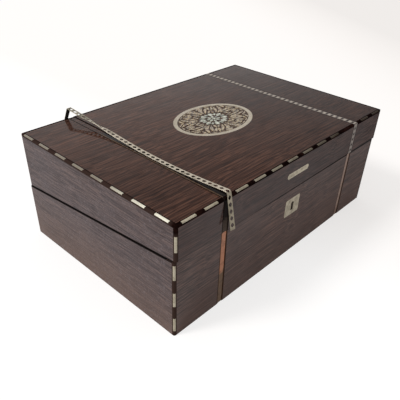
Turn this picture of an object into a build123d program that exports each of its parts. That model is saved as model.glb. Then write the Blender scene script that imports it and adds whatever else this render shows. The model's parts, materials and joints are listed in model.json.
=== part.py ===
from build123d import *
import os
from math import atan2, cos, degrees, radians, sin, tan

# A veneered writing slope: a box cut on a slant and hinged along the back, with two leather
# covered flaps inside that form one long slope when the lid lies open.
# Millimetres. X runs along the front, -Y is the lock side, +Z is up, and the origin is the
# middle of the underside.

# ---------------------------------------------------------------- driving dimensions
box_width = 355.0
box_depth = 236.0
box_height = 129.0
seam_height_front = 90.5        # height of the lid seam at the lock side
seam_gap = 0.7                  # open line between base and lid
lid_proud = 1.0                 # the lid's front stands this far over the base's front
lid_shift = 0.8                 # sideways play of the worn hinges, to the right

front_thick = 10.0
back_thick = 9.0
end_thick = 8.0
bottom_thick = 6.0
top_thick = 7.0
corner_round = 2.0              # upright arrises
arris_round = 1.2               # top arrises

string_width = 3.4              # dark stringing round the top, seen from above
string_drop = 2.9               # the same stringing, seen from the side
post_string = 3.0               # dark stringing on the upright arrises, both ways
pearl_width = 2.3               # dashes in the top arris, seen from above
pearl_drop = 1.1                # the same dashes, seen from the side
post_pearl = 1.8                # dashes in the upright arris, both ways
pearl_length = 16.5
left_pearl_count = 8
middle_pearl_count = 8
lost_pearl_index = 7            # this one is missing and filled in dark
side_pearl_count = 2            # between a band and the end of the lid
post_pearl_count = 3
left_margin_front = 8.8         # bare stringing at both ends of the left edge
left_margin_back = 6.3
end_margin = 6.9                # the same, front edge at the ends
band_margin = 7.8               # bare stringing between a band and the next dash
front_pearl_shift = 0.8         # the front edge's dashes lie this far right of the lid's middle
post_foot_margin = 6.2
post_top_margin = 3.9
lid_post_margin = 11.3          # from the lid's top down to the dash in its corner

band_offset = 114.5             # middle of the box to the middle of a band
band_width = 7.0
band_thick = 0.6
line_width = 1.0                # thin dark line on each side of a band
band_return = 12.5              # how far the bands turn down the lid's back
base_groove_shift = 1.5         # the base's grooves lie this far right of its own middle
hole_pitch = 6.9
hole_length = 4.0
hole_width = 2.5

loose_width = 6.2               # the loose band, with its worn edges
loose_offset = 1.5              # it lies this far right of its groove
loose_reach = 1.2               # its front bend stands this far before the base's front
loose_rise_front = 5.6          # height of its front bend over the lid's top
loose_leg = 39.0                # length of the front leg
loose_leg_splay = 8.0           # how far the leg's foot stands out from its bend
loose_wave = ((-95.0, 3.2), (-62.0, 1.0), (-31.0, 0.4), (-1.5, 0.9), (30.0, 2.8))   # depth, rise
loose_kink_y = 67.0             # the band is kinked here and turns aside
loose_kink_rise = 5.6
loose_tail_rise = 13.6          # height of its back bend over the lid's top
loose_tail_inset = 0.9          # from the lid's back to the back bend
loose_tail_yaw = 6.3            # degrees that the tail turns aside

roundel_half_length = 53.2      # oval inlay in the lid's top, long along the front
roundel_half_depth = 39.0
roundel_ring_width = 4.7
roundel_x = 2.7                 # the oval's middle from the lid's
roundel_y = 3.3
inlay_depth = 1.2
scroll_thick = 0.6
rosette_half_length = 19.0
rosette_half_depth = 15.0
rosette_eye = 0.13              # the eye's and the petals' sizes, in shares of the rosette's
petal_count = 8
petals = (                      # turn in shares of a step, foot, tip and half width
    (0.5, 0.54, 0.99, 0.16),
    (0.0, 0.60, 0.98, 0.08),
    (0.5, 0.18, 0.49, 0.09),
)
sector_count = 12               # every second sector is the mirror image of the one before
leaves = (                      # foot, one side, tip and other side: shares of a sector, of the field
    ((-0.30, 0.06), (-0.43, 0.50), (0.10, 0.93), (-0.14, 0.52)),
    ((-0.10, 0.10), (-0.03, 0.48), (0.30, 0.82), (0.16, 0.40)),
    ((-0.46, 0.70), (-0.40, 0.85), (-0.04, 0.95), (-0.21, 0.84)),
    ((0.13, 0.03), (0.21, 0.23), (0.43, 0.35), (0.38, 0.13)),
    ((0.46, 0.42), (0.29, 0.60), (0.42, 0.83), (0.47, 0.63)),
    ((0.16, 0.91), (0.30, 0.96), (0.46, 0.92), (0.32, 0.87)),
)

plate_thick = 1.0               # name plate and escutcheon
name_width = 38.0
name_height = 6.0
name_x = 0.6                    # from the lid's middle to the plate's middle
name_drop = 19.4                # from the lid's top to the plate's middle
name_cant = 1.8
scutcheon_width = 26.0
scutcheon_height = 21.7
scutcheon_x = 1.5               # from the base's middle to the escutcheon's and the keyhole's
scutcheon_drop = 24.0           # from the seam at the front to the escutcheon's middle
scutcheon_cant = 1.4
keyhole_depth = 20.9            # from the seam at the front to the keyhole's round
keyhole_radius = 2.6
keyhole_slot = 4.0
keyhole_drop = 8.2

case_width = 44.0               # lock
case_depth = 7.5
case_height = 32.5              # from the seam at the front to the case's foot
case_wall = 0.8
edge_plate_thick = 1.2
edge_plate_width = 54.0
bolt_depth = 11.5               # from the seam at the front to the bolt's middle
bolt_throw = 5.0
bolt_block = 10.0
bolt_height = 5.6
prong_radius = 1.0
prong_length = 6.8
staple_thick = 2.4
staple_depth = 4.4
staple_foot = 3.4               # from the bolt's middle to the staple's foot
moving_gap = 0.35               # free space between pieces that move past each other
key_pin_radius = 0.9

hinge_standoff = 0.8            # main hinge axis behind the back face
hinge_inset = 65.5              # end of the box to the middle of a hinge
hinge_length = 50.0
hinge_leaf_width = 8.0
hinge_leaf_thick = 1.2
hinge_pin_radius = 1.2
hinge_knuckle_radius = 2.4
hinge_knuckle_count = 5
pin_clearance = 0.05
screw_head_radius = 2.0
screw_head_height = 1.1
screw_radius = 1.1
screw_length = 9.0
screw_slot = 0.5
leaf_screw_count = 3
leaf_screw_margin = 8.0

pen_zone = 46.0                 # from the front board to the partition
partition_thick = 4.0
ink_zone = 46.0                 # from an end board to its divider
divider_thick = 3.0
board_drop = 2.0                # partition and dividers stop this far under the seam
well_sink = 4.3                 # tray and bottle tops under the seam at the partition
ink_floor_thick = 4.0
tray_thick = 16.0
tray_gap = 0.4
tray_rest_size = 4.0
trough_radius = 24.0
trough_depth = 10.0
trough_end = 9.0

bottle_width = 36.0
bottle_height = 32.0
bottle_round = 4.0
bottle_cavity_radius = 13.0
bottle_wall = 4.0
neck_radius = 10.0
neck_bore_radius = 7.0
neck_height = 6.0
cap_radius = 13.0
cap_height = 10.0
cap_top = 2.5

flap_recess = 0.8               # leather face under the seam plane
leather_thick = 1.0
leather_margin = 9.0
flap_thick = 6.0
flap_side_gap = 0.8
flap_end_gap = 1.6
ledge_width = 5.0
ledge_thick = 4.0
ledge_gap = 0.35
tab_width = 14.0
tab_length = 20.0
tab_thick = 0.45

flap_hinge_setback = 1.4        # flap hinge axis in front of the back board
flap_hinge_depth = 1.9          # flap hinge axis under the seam plane
flap_hinge_place = 60.0
flap_hinge_length = 30.0
flap_knuckle_radius = 1.3
flap_pin_radius = 0.6
flap_leaf_gap = 0.8             # from the axis to each leaf
flap_leaf_thick = 0.8
flap_leaf_height = 4.4
flap_knuckle_count = 3
knuckle_gap = 0.3

# ---------------------------------------------------------------- places worked out from them
reach = box_width + box_depth + box_height      # longer than anything in the box
left = -box_width / 2
right = box_width / 2
front = -box_depth / 2
back = box_depth / 2
lid_left = left + lid_shift
lid_right = right + lid_shift
lid_front = front - lid_proud
hinge_y = back + hinge_standoff
hinge_z = box_height / 2        # so that the opened lid lies flat beside the base
slope = degrees(atan2(seam_height_front - hinge_z, hinge_y - front))
inner_front = front + front_thick
hinge_place = right - hinge_inset
inner_back = back - back_thick
inner_left = left + end_thick
inner_right = right - end_thick
rail_z = box_height - top_thick
lid_inner_front = lid_front + front_thick
partition_front = inner_front + pen_zone
partition_back = partition_front + partition_thick
name_z = box_height - name_drop
scutcheon_z = seam_height_front - scutcheon_drop
keyhole_z = seam_height_front - keyhole_depth
bolt_z = seam_height_front - bolt_depth
case_foot_z = seam_height_front - case_height


def seam_z(y):
    """Height of the seam plane at a depth."""
    return hinge_z + (hinge_y - y) * tan(radians(slope))


def block(x0, x1, y0, y1, z0, z1):
    """A box between two corners."""
    return Pos((x0 + x1) / 2, (y0 + y1) / 2, (z0 + z1) / 2) * Box(x1 - x0, y1 - y0, z1 - z0)


def rod(x0, x1, radius, y=0.0, z=0.0):
    """A round bar along X."""
    return Pos((x0 + x1) / 2, y, z) * Rot(0, 90, 0) * Cylinder(radius, x1 - x0)


def on_slope(shape):
    """Move a shape from the seam's own frame, with the hinge axis at its origin, to the box."""
    return Pos(0, hinge_y, hinge_z) * Rot(-slope, 0, 0) * shape


def flipped(shape):
    """The mirror image of a shape across the seam plane, in the seam's own frame."""
    return mirror(shape, Plane.XY)


def slope_place(y, depth=0.0):
    """Place along the seam of an upright plane at y, met at a depth under the seam."""
    return (y - hinge_y + depth * sin(radians(slope))) / cos(radians(slope))


def below_seam(depth):
    """Everything more than a depth under the seam plane."""
    return on_slope(block(-reach, reach, -reach, reach, -reach, -depth))


def above_seam(height):
    """Everything more than a height over the seam plane."""
    return on_slope(block(-reach, reach, -reach, reach, height, reach))


def cut(shape, *cutters):
    """A shape less each of the cutters."""
    for cutter in cutters:
        shape = shape - cutter
    return shape


def group(shapes):
    """Separate solids kept together as one sub-part."""
    return Compound(children=[solid for shape in shapes for solid in shape.solids()])


# ---------------------------------------------------------------- the box before it is cut up
base_case = block(left, right, front, back, 0, box_height)
base_case = fillet(base_case.edges().filter_by(Axis.Z), corner_round)
base_shell = base_case & below_seam(seam_gap / 2)

lid_case = block(lid_left, lid_right, lid_front, back, 0, box_height)
lid_case = fillet(lid_case.edges().filter_by(Axis.Z), corner_round)
lid_case = fillet(lid_case.faces().sort_by(Axis.Z)[-1].edges(), arris_round)
lid_shell = lid_case & above_seam(seam_gap / 2)


# ---------------------------------------------------------------- stringing and pearl dashes
def spread(first, last, count, size):
    """Low ends of evenly spread dashes between two limits."""
    pitch = (last - first - size) / (count - 1)
    return [first + index * pitch for index in range(count)]


def front_pearl_starts():
    """Left ends of the dashes along the lid's front edge, less the lost one."""
    line_edge = band_offset - band_width / 2 - line_width
    line_far = band_offset + band_width / 2 + line_width
    middle = spread(-line_edge + band_margin, line_edge - band_margin, middle_pearl_count, pearl_length)
    middle.pop(lost_pearl_index)
    outer = spread(line_far + band_margin, box_width / 2 - end_margin, side_pearl_count, pearl_length)
    mirrored = [-start - pearl_length for start in outer]
    return [start + lid_shift + front_pearl_shift for start in mirrored + middle + outer]


def post(x_side, size, shell, z0, z1):
    """A square bar in the upright arris at one end of a shell's front."""
    box = shell.bounding_box()
    x0 = box.min.X if x_side < 0 else box.max.X - size
    return shell & block(x0, x0 + size, box.min.Y, box.min.Y + size, z0, z1)


top_frame = block(lid_left, lid_right, lid_front, back, box_height - string_drop, box_height)
top_frame = top_frame - block(
    lid_left + string_width, lid_right - string_width,
    lid_front + string_width, back - string_width, 0, box_height)
lid_edge_string = lid_case & top_frame

front_dashes = []
for start in front_pearl_starts():
    dash = block(start, start + pearl_length, lid_front, lid_front + pearl_width,
                 box_height - pearl_drop, box_height)
    front_dashes.append(lid_case & dash)

left_dashes = []
for start in spread(lid_front + left_margin_front, back - left_margin_back,
                    left_pearl_count, pearl_length):
    dash = block(lid_left, lid_left + pearl_width, start, start + pearl_length,
                 box_height - pearl_drop, box_height)
    left_dashes.append(lid_case & dash)

post_dash_top = box_height - lid_post_margin
lid_post_dash = post(-1, post_pearl, lid_shell, post_dash_top - pearl_length, post_dash_top)
base_dashes = []
for start in spread(post_foot_margin, seam_z(front) - post_top_margin, post_pearl_count, pearl_length):
    base_dashes.append(post(-1, post_pearl, base_shell, start, start + pearl_length))

lid_posts = [post(side, post_string, lid_shell, 0, box_height - string_drop) for side in (-1, 1)]
base_posts = [post(side, post_string, base_shell, 0, box_height) for side in (-1, 1)]


# ---------------------------------------------------------------- pierced bands and their grooves
def lid_channel(x0, x1):
    """What a band between two places along X takes up: top, front and a short return behind."""
    top_run = block(x0, x1, lid_front, back, box_height - band_thick, box_height)
    front_run = block(x0, x1, lid_front, lid_front + band_thick, 0, box_height)
    back_run = block(x0, x1, back - band_thick, back, box_height - band_return, box_height)
    return lid_shell & (top_run + front_run + back_run)


def base_channel(x0, x1):
    """The band's groove down the base's front."""
    return base_shell & block(x0, x1, front, front + band_thick, 0, box_height)


def pierced_hole():
    """A lozenge, long along its local Y, as tall as any band is thick."""
    half_length = hole_length / 2
    half_width = hole_width / 2
    corners = [(0, half_length), (half_width, 0), (0, -half_length), (-half_width, 0)]
    return extrude(Polygon(*corners, align=None), 2 * band_thick, both=True)


def hole_row(length):
    """Lozenges along local Y from zero to a length, centred on it."""
    count = int(length / hole_pitch)
    first = (length - (count - 1) * hole_pitch) / 2
    return [Pos(0, first + index * hole_pitch, 0) * pierced_hole() for index in range(count)]


half_band = band_width / 2
half_groove = half_band + line_width
band_places = {"left": lid_shift - band_offset, "right": lid_shift + band_offset}

lid_grooves = []
lid_lines = []
base_grooves = []
base_lines = []
for centre in band_places.values():
    lid_grooves.append(lid_channel(centre - half_groove, centre + half_groove))
    lid_lines.append(lid_channel(centre - half_groove, centre - half_band))
    lid_lines.append(lid_channel(centre + half_band, centre + half_groove))
    low = centre - lid_shift + base_groove_shift
    base_grooves.append(base_channel(low - half_groove, low + half_groove))
    base_lines.append(base_channel(low - half_groove, low - half_band))
    base_lines.append(base_channel(low + half_band, low + half_groove))

band_right = lid_channel(band_places["right"] - half_band, band_places["right"] + half_band)
top_holes = Pos(band_places["right"], lid_front, box_height)
for hole in hole_row(box_depth + lid_proud):
    band_right = band_right - top_holes * hole
front_holes = Pos(band_places["right"], lid_front, seam_z(lid_front)) * Rot(90, 0, 0)
for hole in hole_row(box_height - seam_z(lid_front) - corner_round):
    band_right = band_right - front_holes * hole


# ---------------------------------------------------------------- the band that has sprung loose
def ribbon(points, thickness):
    """Outline of a flat spring along a bent line, from points in (Y, Z)."""
    sides = ([], [])
    for index, point in enumerate(points):
        before = points[max(index - 1, 0)]
        after = points[min(index + 1, len(points) - 1)]
        incoming = Vector(point[0] - before[0], point[1] - before[1])
        outgoing = Vector(after[0] - point[0], after[1] - point[1])
        incoming = incoming.normalized() if incoming.length else outgoing.normalized()
        outgoing = outgoing.normalized() if outgoing.length else incoming
        mitre = (incoming + outgoing).normalized()
        stretch = thickness / 2 / mitre.dot(incoming)
        offset = Vector(-mitre.Y, mitre.X) * stretch
        sides[0].append((point[0] + offset.X, point[1] + offset.Y))
        sides[1].append((point[0] - offset.X, point[1] - offset.Y))
    return sides[0] + sides[1][::-1]


def ribbon_solid(points):
    """A band of the loose band's width along points in (Y, Z), centred on X = 0."""
    outline = Plane.YZ * Polygon(*ribbon(points, band_thick), align=None)
    return extrude(outline, loose_width / 2, both=True)


bend = (front - loose_reach, box_height + loose_rise_front)
leg_drop = (loose_leg ** 2 - loose_leg_splay ** 2) ** 0.5
leg_foot = (bend[0] - loose_leg_splay, bend[1] - leg_drop)
kink = (loose_kink_y, box_height + loose_kink_rise)
tail_length = back - loose_tail_inset - loose_kink_y
tail_bend = (loose_kink_y + tail_length, box_height + loose_tail_rise)
tail_foot = (tail_bend[0], box_height + band_thick / 2)
loose_run = [leg_foot, bend] + [(y, box_height + rise) for y, rise in loose_wave] + [kink]
run = ribbon_solid(loose_run)
tail = ribbon_solid([kink, tail_bend, tail_foot])

for start, end in zip(loose_run, loose_run[1:]):
    run_length = ((end[0] - start[0]) ** 2 + (end[1] - start[1]) ** 2) ** 0.5
    tilt = degrees(atan2(end[1] - start[1], end[0] - start[0]))
    for hole in hole_row(run_length):
        run = run - Pos(0, *start) * Rot(tilt, 0, 0) * hole
tail_run = ((tail_bend[0] - kink[0]) ** 2 + (tail_bend[1] - kink[1]) ** 2) ** 0.5
tail_tilt = degrees(atan2(tail_bend[1] - kink[1], tail_bend[0] - kink[0]))
for hole in hole_row(tail_run):
    tail = tail - Pos(0, *kink) * Rot(tail_tilt, 0, 0) * hole
tail = Pos(0, loose_kink_y, 0) * Rot(0, 0, loose_tail_yaw) * Pos(0, -loose_kink_y, 0) * tail
band_loose = Pos(band_places["left"] + loose_offset, 0, 0) * (run + tail)


# ---------------------------------------------------------------- oval inlay in the lid's top
def inlay(sketch, top, thick):
    """A flat piece let into the lid's top, its face at a height."""
    return Pos(lid_shift + roundel_x, roundel_y, top - thick) * extrude(sketch, thick)


def blade(foot, one_side, tip, other_side):
    """A pointed leaf between two arcs."""
    return make_face([ThreePointArc(foot, one_side, tip), ThreePointArc(tip, other_side, foot)])


def field_place(sector, turn, share):
    """A place between the rosette and the ring, from shares of a sector and of the way out."""
    hand = 1 if sector % 2 else -1
    angle = radians((sector + 0.5 + hand * turn) * 360 / sector_count)
    length = rosette_half_length + (field_half_length - rosette_half_length) * share
    depth = rosette_half_depth + (field_half_depth - rosette_half_depth) * share
    return (length * cos(angle), depth * sin(angle))


def rosette_place(angle, along, aside):
    """A place in the rosette, from shares of its size along a petal and across it."""
    return (rosette_half_length * (along * cos(angle) - aside * sin(angle)),
            rosette_half_depth * (along * sin(angle) + aside * cos(angle)))


field_half_length = roundel_half_length - roundel_ring_width
field_half_depth = roundel_half_depth - roundel_ring_width
roundel_outline = Ellipse(roundel_half_length, roundel_half_depth)
field_outline = Ellipse(field_half_length, field_half_depth)
roundel_recess = inlay(roundel_outline, box_height, inlay_depth)
roundel_ring = inlay(roundel_outline - field_outline, box_height, inlay_depth)
roundel_ground = inlay(field_outline, box_height - scroll_thick, inlay_depth - scroll_thick)

scroll_pieces = []
for sector in range(sector_count):
    for places in leaves:
        shape = blade(*[field_place(sector, *place) for place in places])
        scroll_pieces.append(inlay(shape, box_height, scroll_thick))

eye = Ellipse(rosette_half_length * rosette_eye, rosette_half_depth * rosette_eye)
rosette_pieces = [inlay(eye, box_height, scroll_thick)]
for turn, foot, tip, half_width in petals:
    belly = (foot + tip) / 2
    for index in range(petal_count):
        angle = radians((index + turn) * 360 / petal_count)
        shape = blade(rosette_place(angle, foot, 0), rosette_place(angle, belly, half_width),
                      rosette_place(angle, tip, 0), rosette_place(angle, belly, -half_width))
        rosette_pieces.append(inlay(shape, box_height, scroll_thick))


# ---------------------------------------------------------------- name plate and escutcheon
def canted_plate(width, height, cant, y, z, x):
    """An upright plate with its corners taken off, its face at y."""
    outline = chamfer(Rectangle(width, height).vertices(), cant)
    return Pos(x, y + plate_thick, z) * Rot(90, 0, 0) * extrude(outline, plate_thick)


nameplate = canted_plate(
    name_width, name_height, name_cant, lid_front, name_z, lid_shift + name_x)
scutcheon_blank = canted_plate(
    scutcheon_width, scutcheon_height, scutcheon_cant, front, scutcheon_z, scutcheon_x)

keyhole_sketch = Circle(keyhole_radius)
keyhole_sketch += Pos(0, -keyhole_drop / 2) * Rectangle(keyhole_slot, keyhole_drop)
case_front = inner_front - case_depth
keyhole_reach = case_front + case_wall - front
keyhole = Pos(scutcheon_x, front + keyhole_reach, keyhole_z) * Rot(90, 0, 0)
keyhole = keyhole * extrude(keyhole_sketch, keyhole_reach)
escutcheon = scutcheon_blank - keyhole


# ---------------------------------------------------------------- screws
def screw_blank():
    """A countersunk screw, its flat head at the origin and its point down."""
    head = Pos(0, 0, -screw_head_height / 2) * Cone(screw_radius, screw_head_radius, screw_head_height)
    shank_length = screw_length - screw_head_height
    shank = Pos(0, 0, -screw_head_height - shank_length / 2) * Cylinder(screw_radius, shank_length)
    return head + shank


def slotted(place):
    """A screw at a place, with its slot."""
    slot = Box(2 * screw_head_radius, screw_slot, screw_slot)
    return place * (screw_blank() - slot)


seam_half = seam_gap / 2
leaf_middle = -hinge_standoff - back_thick / 2
leaf_screw_xs = spread(-hinge_length / 2 + leaf_screw_margin, hinge_length / 2 - leaf_screw_margin,
                       leaf_screw_count, 0)
base_screw_places = []
lid_screw_places = []
to_slope = Pos(0, hinge_y, hinge_z) * Rot(-slope, 0, 0)
for side in (-1, 1):
    for x in leaf_screw_xs:
        place = side * hinge_place + x
        base_screw_places.append(to_slope * Pos(place, leaf_middle, -seam_half))
        lid_screw_places.append(to_slope * Pos(place, leaf_middle, seam_half) * Rot(180, 0, 0))
    plate_screw_x = side * (case_width + edge_plate_width) / 4
    plate_screw_a = slope_place(inner_front - case_depth / 2, seam_half)
    base_screw_places.append(to_slope * Pos(plate_screw_x, plate_screw_a, -seam_half))
    lid_screw_places.append(to_slope * Pos(plate_screw_x, plate_screw_a, seam_half) * Rot(180, 0, 0))
base_screw_holes = [place * screw_blank() for place in base_screw_places]
lid_screw_holes = [place * screw_blank() for place in lid_screw_places]

# ---------------------------------------------------------------- lock
staple_y0 = case_front + case_wall + moving_gap
staple_y1 = staple_y0 + staple_depth
staple_middle = (staple_y0 + staple_y1) / 2
staple_foot_z = bolt_z - staple_foot
plate_under = seam_half + edge_plate_thick

plate_zone = block(-edge_plate_width / 2, edge_plate_width / 2, case_front, inner_front, 0, reach)
lock_plate_blank = plate_zone & base_shell & above_seam(-plate_under)
staple_slot = block(-staple_thick / 2 - 2 * moving_gap, staple_thick / 2 + 2 * moving_gap,
                    staple_y0 - moving_gap, inner_front - case_wall / 2, staple_foot_z, reach)
lock_plate = cut(lock_plate_blank, staple_slot, *base_screw_holes)

case_zone = block(-case_width / 2, case_width / 2, case_front, inner_front, case_foot_z, reach)
case_blank = case_zone & below_seam(plate_under)
case_room = block(-case_width / 2 + case_wall, case_width / 2 - case_wall,
                  case_front + case_wall, inner_front - case_wall / 2,
                  case_foot_z + case_wall, bolt_z + bolt_height / 2 + moving_gap)
shelf_top = staple_foot_z - moving_gap
shelf = block(-case_width / 2 + case_wall, case_width / 2 - case_wall,
              case_front + case_wall, inner_front - case_wall / 2,
              shelf_top - 2 * case_wall, shelf_top)
key_pin_y = (case_front + inner_front) / 2
key_pin = Pos(scutcheon_x, key_pin_y, keyhole_z) * Rot(90, 0, 0) * Cylinder(key_pin_radius, case_depth)
lock_case = cut(case_blank, case_room - shelf, staple_slot & below_seam(plate_under), keyhole)
lock_case = lock_case + (key_pin & case_blank)

bolt_tip = -staple_thick / 2 - moving_gap
bolt_face = bolt_tip - prong_length
bolt_y0 = case_front + case_wall + moving_gap
bolt_y1 = inner_front - case_wall / 2 - moving_gap
bolt_foot = max(bolt_z - bolt_height / 2, shelf_top + moving_gap)
lock_bolt = block(bolt_face - bolt_block, bolt_face, bolt_y0, bolt_y1, bolt_foot,
                  bolt_z + bolt_height / 2 - moving_gap)
lock_bolt = lock_bolt + rod(bolt_face - prong_length / 2, bolt_tip, prong_radius, staple_middle, bolt_z)

strike_zone = block(-edge_plate_width / 2, edge_plate_width / 2, case_front, lid_inner_front, 0, reach)
strike_blank = strike_zone & lid_shell & below_seam(-plate_under)
staple = block(-staple_thick / 2, staple_thick / 2, staple_y0, staple_y1,
               staple_foot_z, seam_z(staple_y1) + edge_plate_thick)
staple = staple - rod(-staple_thick, staple_thick, prong_radius + moving_gap, staple_middle, bolt_z)
strike_plate = cut(strike_blank, *lid_screw_holes) + staple


# ---------------------------------------------------------------- main hinges
def knuckle_ends(length, count, index):
    """Both ends of one knuckle along the pin, with its share of the gaps."""
    size = length / count
    start = -length / 2 + index * size
    return start + knuckle_gap / 2, start + size - knuckle_gap / 2


def main_leaf(side, bore):
    """A hinge leaf in the seam's frame: side -1 is the base's and 1 the lid's."""
    levels = sorted((side * seam_half, side * (seam_half + hinge_leaf_thick)))
    leaf_plate = block(-hinge_length / 2, hinge_length / 2,
                       -hinge_standoff - hinge_leaf_width, 0, *levels)
    for index in range(hinge_knuckle_count):
        x0, x1 = knuckle_ends(hinge_length, hinge_knuckle_count, index)
        own = (index % 2 == 0) == (side < 0)
        if own:
            leaf_plate = leaf_plate + rod(x0, x1, hinge_knuckle_radius)
        else:
            leaf_plate = leaf_plate - rod(x0 - knuckle_gap, x1 + knuckle_gap,
                                          hinge_knuckle_radius + moving_gap)
    return leaf_plate - rod(-hinge_length, hinge_length, bore)


def leaf_seat(side):
    """The wood that a leaf and the knuckles take away, in the seam's frame."""
    levels = sorted((0, side * (seam_half + hinge_leaf_thick)))
    seat = block(-hinge_length / 2, hinge_length / 2, -hinge_standoff - hinge_leaf_width, 0, *levels)
    return seat + rod(-hinge_length / 2 - moving_gap, hinge_length / 2 + moving_gap,
                      hinge_knuckle_radius + moving_gap)


base_leaves = []
lid_leaves = []
hinge_pins = []
base_seats = []
lid_seats = []
for side in (-1, 1):
    place = Pos(side * hinge_place, 0, 0)
    base_leaves.append(cut(on_slope(place * main_leaf(-1, hinge_pin_radius)), *base_screw_holes))
    lid_leaf = on_slope(place * main_leaf(1, hinge_pin_radius + pin_clearance))
    lid_leaves.append(cut(lid_leaf, *lid_screw_holes))
    hinge_pins.append(on_slope(place * rod(-hinge_length / 2, hinge_length / 2, hinge_pin_radius)))
    base_seats.append(on_slope(place * leaf_seat(-1)))
    lid_seats.append(on_slope(place * leaf_seat(1)))

# ---------------------------------------------------------------- boards of the base
front_zone = block(left, right, front, inner_front, 0, reach)
base_front = cut(base_shell & front_zone, *base_posts, *base_grooves, scutcheon_blank, keyhole,
                 lock_plate_blank, case_blank, staple_slot, *base_screw_holes)
back_zone = block(left, right, inner_back, back, 0, reach)
base_back = cut(base_shell & back_zone, *base_seats, *base_screw_holes)
base_left_end = base_shell & block(left, inner_left, inner_front, inner_back, 0, reach)
base_right_end = base_shell & block(inner_right, right, inner_front, inner_back, 0, reach)
base_bottom = block(inner_left, inner_right, inner_front, inner_back, 0, bottom_thick)

base_strings = [cut(base_posts[0], *base_dashes), base_posts[1]]

# ---------------------------------------------------------------- boards of the lid
lid_top = lid_shell & block(lid_left, lid_right, lid_front, back, rail_z, box_height)
lid_top = cut(lid_top, lid_edge_string, *lid_posts, *lid_grooves, roundel_recess)
lid_rail_zone = block(lid_left, lid_right, lid_front, lid_inner_front, 0, rail_z)
lid_front_board = cut(lid_shell & lid_rail_zone, *lid_posts, *lid_grooves, nameplate,
                      strike_blank, *lid_screw_holes)
lid_back_zone = block(lid_left, lid_right, inner_back, back, 0, rail_z)
lid_back = cut(lid_shell & lid_back_zone, *lid_grooves, *lid_seats, *lid_screw_holes)
lid_left_end = lid_shell & block(lid_left, lid_left + end_thick, lid_inner_front, inner_back, 0, rail_z)
lid_right_end = lid_shell & block(lid_right - end_thick, lid_right, lid_inner_front, inner_back, 0, rail_z)

lid_edge_string = cut(lid_edge_string, *front_dashes, *left_dashes, *lid_grooves)
lid_corner_strings = [cut(lid_posts[0], lid_post_dash), lid_posts[1]]

# ---------------------------------------------------------------- pen place and ink places
under_boards = below_seam(board_drop)
well_partition = block(inner_left, inner_right, partition_front, partition_back, bottom_thick, reach)
well_partition = well_partition & under_boards

divider_inner = inner_right - ink_zone - divider_thick
well_top = seam_z(partition_front) - well_sink
bottle_foot = well_top - cap_height - bottle_height
tray_foot = well_top - tray_thick
ink_dividers = []
tray_rests = []
ink_floors = []
for side in (-1, 1):
    xs = sorted((side * divider_inner, side * (divider_inner + divider_thick)))
    divider = block(*xs, inner_front, partition_front, bottom_thick, reach)
    ink_dividers.append(divider & under_boards)
    xs = sorted((side * divider_inner, side * (divider_inner - tray_rest_size)))
    tray_rests.append(block(*xs, inner_front, partition_front,
                            tray_foot - tray_rest_size, tray_foot))
    xs = sorted((side * (divider_inner + divider_thick), side * inner_right))
    ink_floors.append(block(*xs, inner_front, partition_front,
                            bottle_foot - ink_floor_thick, bottle_foot))

tray_end = divider_inner - tray_gap
pen_tray = block(-tray_end, tray_end, inner_front + tray_gap, partition_front - tray_gap,
                 tray_foot, well_top)
trough_y = (inner_front + partition_front) / 2
pen_tray = pen_tray - rod(-tray_end + trough_end, tray_end - trough_end, trough_radius,
                          trough_y, well_top + trough_radius - trough_depth)

# ---------------------------------------------------------------- ink bottles
shoulder = bottle_foot + bottle_height
body = block(-bottle_width / 2, bottle_width / 2, -bottle_width / 2, bottle_width / 2,
             bottle_foot, shoulder)
body = fillet(body.edges().filter_by(Axis.Z), bottle_round)
neck = Pos(0, 0, shoulder + neck_height / 2) * Cylinder(neck_radius, neck_height)
cavity_height = bottle_height - 2 * bottle_wall
cavity = Pos(0, 0, bottle_foot + bottle_height / 2) * Cylinder(bottle_cavity_radius, cavity_height)
bore_height = neck_height + bottle_wall
neck_bore = Pos(0, 0, shoulder - bottle_wall + bore_height / 2) * Cylinder(neck_bore_radius, bore_height)
bottle = body + neck - cavity - neck_bore
cap = Pos(0, 0, shoulder + cap_height / 2) * Cylinder(cap_radius, cap_height)
cap_room = cap_height - cap_top
cap = cap - Pos(0, 0, shoulder + cap_room / 2) * Cylinder(neck_radius, cap_room)
bottle_x = inner_right - ink_zone / 2
bottle_places = [Pos(side * bottle_x, trough_y, 0) for side in (-1, 1)]

# ---------------------------------------------------------------- writing flaps, in the seam's frame
flap_under = flap_recess + flap_thick
flap_half = box_width / 2 - end_thick - flap_side_gap
axis_n = -flap_hinge_depth


def wall_place(y, depth, side):
    """Where an upright wall crosses a level this deep in the base (side -1) or the lid (side 1)."""
    return slope_place(y, -side * depth)


def back_walls(side):
    """The back board's inner face at the seam and at the flap's underside."""
    return wall_place(inner_back, 0, side), wall_place(inner_back, flap_under, side)


def flap_axis(side):
    """Place of a flap's hinge axis along the seam."""
    return min(back_walls(side)) - flap_hinge_setback


def flap_back(side):
    """Place of a flap's hinged edge along the seam."""
    return flap_axis(side) - flap_leaf_gap - flap_leaf_thick


def hinge_pair(shape):
    """The same hinge piece at both hinge places of a flap."""
    return [Pos(x_side * flap_hinge_place, 0, 0) * shape for x_side in (-1, 1)]


def flap_leaf_block(a0, a1):
    """A leaf of a flap hinge, standing beside the axis."""
    return block(-flap_hinge_length / 2, flap_hinge_length / 2, a0, a1,
                 axis_n - flap_leaf_height, axis_n + flap_leaf_gap)


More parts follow.
